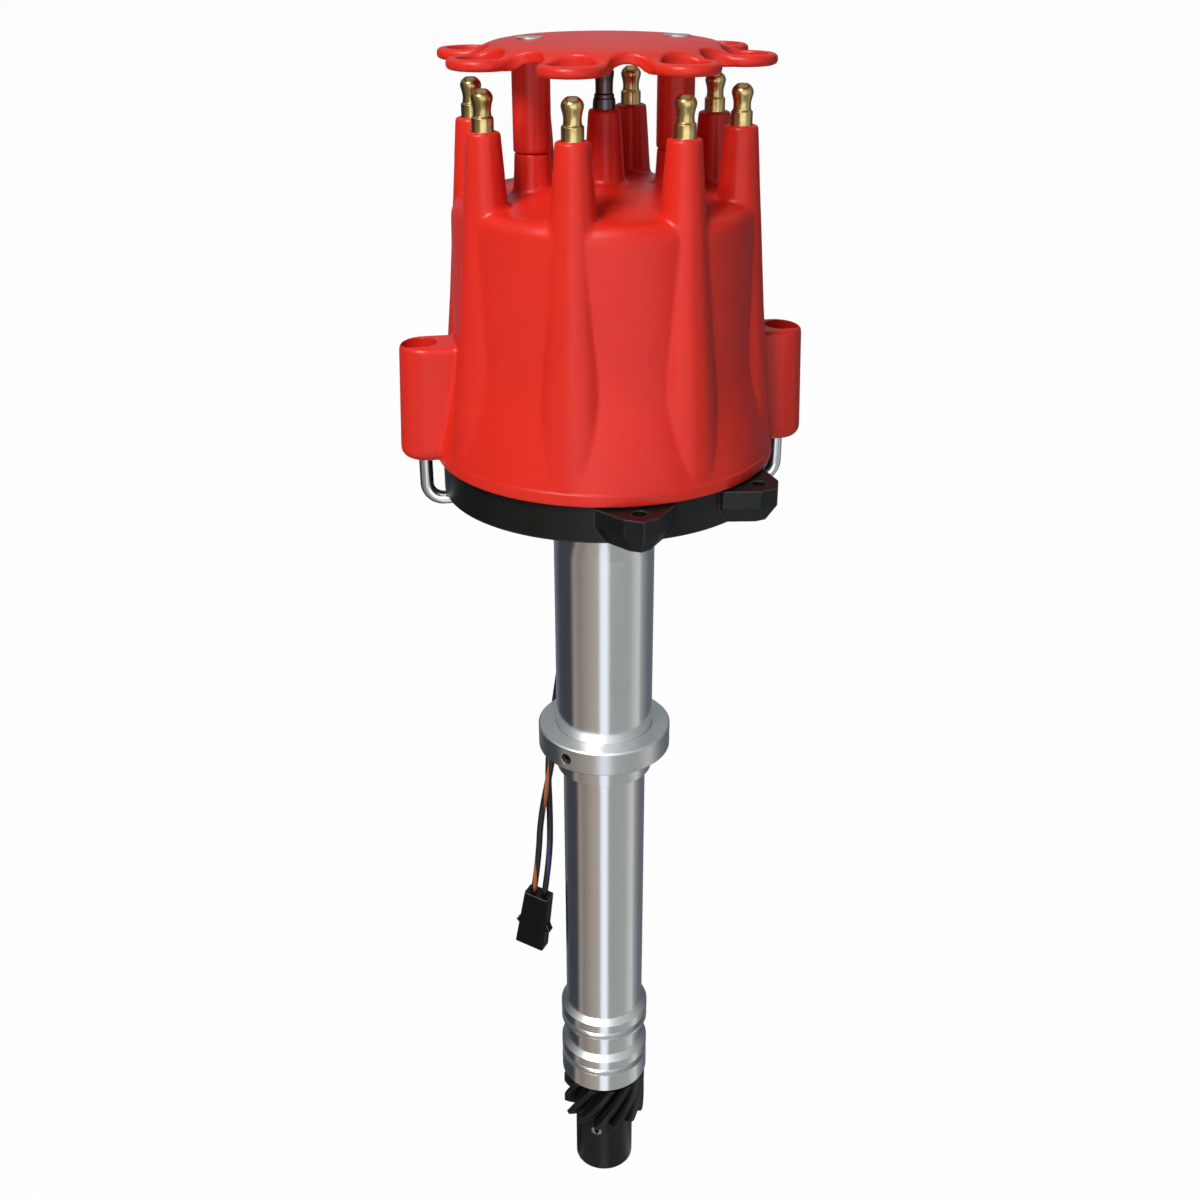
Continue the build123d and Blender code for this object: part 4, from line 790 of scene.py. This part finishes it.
seats = [spun("seat", [(0, post_top - 1), (screw_r, post_top - 1), (screw_r, leg_seat),
                       (screw_seat_r, leg_seat), (screw_seat_r, cut_high), (0, cut_high)],
              (side * post_circle_r, 0), 48) for side in (-1, 1)]
carved(retainer, joined(seats))
retainer.name = "plug_wire_retainer"
only(retainer)
bpy.ops.object.shade_smooth_by_angle(angle=radians(40))
dress(retainer, red_moulding)
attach(retainer, "body")
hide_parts("wire_retainer")

# Terminals: eight turned brass plugs in the towers, and a darker one in the middle.
# Each has a collar at its foot, a waist, and a bulb with a small flat tip that the wire's clip snaps over.
spark_brass = brass("terminal_brass")
rod_gap = 0.05
fitted_rod_r, fitted_bore_r = rod_r - rod_gap, bore_r - rod_gap
spark_tip, spark_base_r, spark_waist_r, spark_bulb_r, spark_tip_r = 209.5, 2.95, 2.35, 2.95, 1.55


def terminal_outline(top, tip, base_r, waist_r, bulb_r, tip_r):
    """Half section of a terminal, from its rod's foot up to its tip."""
    def level(share):
        return top + (tip - top) * share

    waist, bulb = (waist_r, level(0.47)), (bulb_r, level(0.76))
    return [(0, boss_low), (fitted_rod_r, boss_low), (fitted_rod_r, top - bore_depth),
            (fitted_bore_r, top - bore_depth), (fitted_bore_r, top - 1.0), (base_r, top - 0.5),
            (base_r, level(0.32)), (base_r - 0.2, level(0.345)),
            *softened((base_r - 0.4, level(0.35)), (waist_r + 0.05, level(0.39)), waist, 0.7, 5),
            *softened(waist, (waist_r, level(0.58)), bulb, 0.8),
            *softened(bulb, (bulb_r, level(0.90)), (tip_r, level(0.99)), 0.85, 10),
            (tip_r - 0.15, level(1.0)), (0, level(1.0))]


def plug(name, outline, spot, finish, node):
    """Turns one terminal, and puts it in place of its CAD node."""
    made = spun(name, outline, spot, 40)
    bpy.ops.object.shade_smooth_by_angle(angle=radians(32))
    dress(made, finish)
    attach(made, "body")
    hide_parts(node)


for number, spot in enumerate(tower_spots, start=1):
    outline = terminal_outline(tower_top, spark_tip, spark_base_r, spark_waist_r, spark_bulb_r, spark_tip_r)
    plug(f"spark_plug_terminal_{number}", outline, spot, spark_brass, f"spark_terminal_{number}")

# Coil terminal: a turned plug of dark nickel in the middle tower, stouter than the others.
# Its foot tapers up to a small step, and above it the neck is nearly straight.
coil_foot_r, coil_step_r, coil_neck_r, coil_head_r = 3.15, 2.75, 2.4, 2.7
coil_seat, coil_tip = coil_tower_top - bore_depth, coil_tower_top + 10.2
coil_foot = [(coil_foot_r, 0), (coil_foot_r, 1.2), (coil_foot_r - 0.15, 2.6), (coil_step_r, 2.9),
             (coil_step_r, 3.7), (coil_neck_r, 4.1)]
coil_outline = [(0, boss_low), (fitted_rod_r, boss_low), (fitted_rod_r, coil_seat),
                (fitted_bore_r, coil_seat), (fitted_bore_r, coil_tower_top - 0.3),
                *((radius, coil_tower_top + rise) for radius, rise in coil_foot),
                *softened((coil_neck_r, coil_tower_top + 5.2), (coil_neck_r, coil_tower_top + 7.6),
                          (coil_head_r, coil_tower_top + 8.6), 0.8),
                *softened((coil_head_r, coil_tower_top + 9.0), (coil_head_r, coil_tip), (0, coil_tip), 0.6)[:-1],
                (0, coil_tip)]
dark_nickel = steel("dark_nickel", (0.10, 0.085, 0.09), 0.2)
plug("coil_plug", coil_outline, (0, 0), dark_nickel, "coil_terminal")
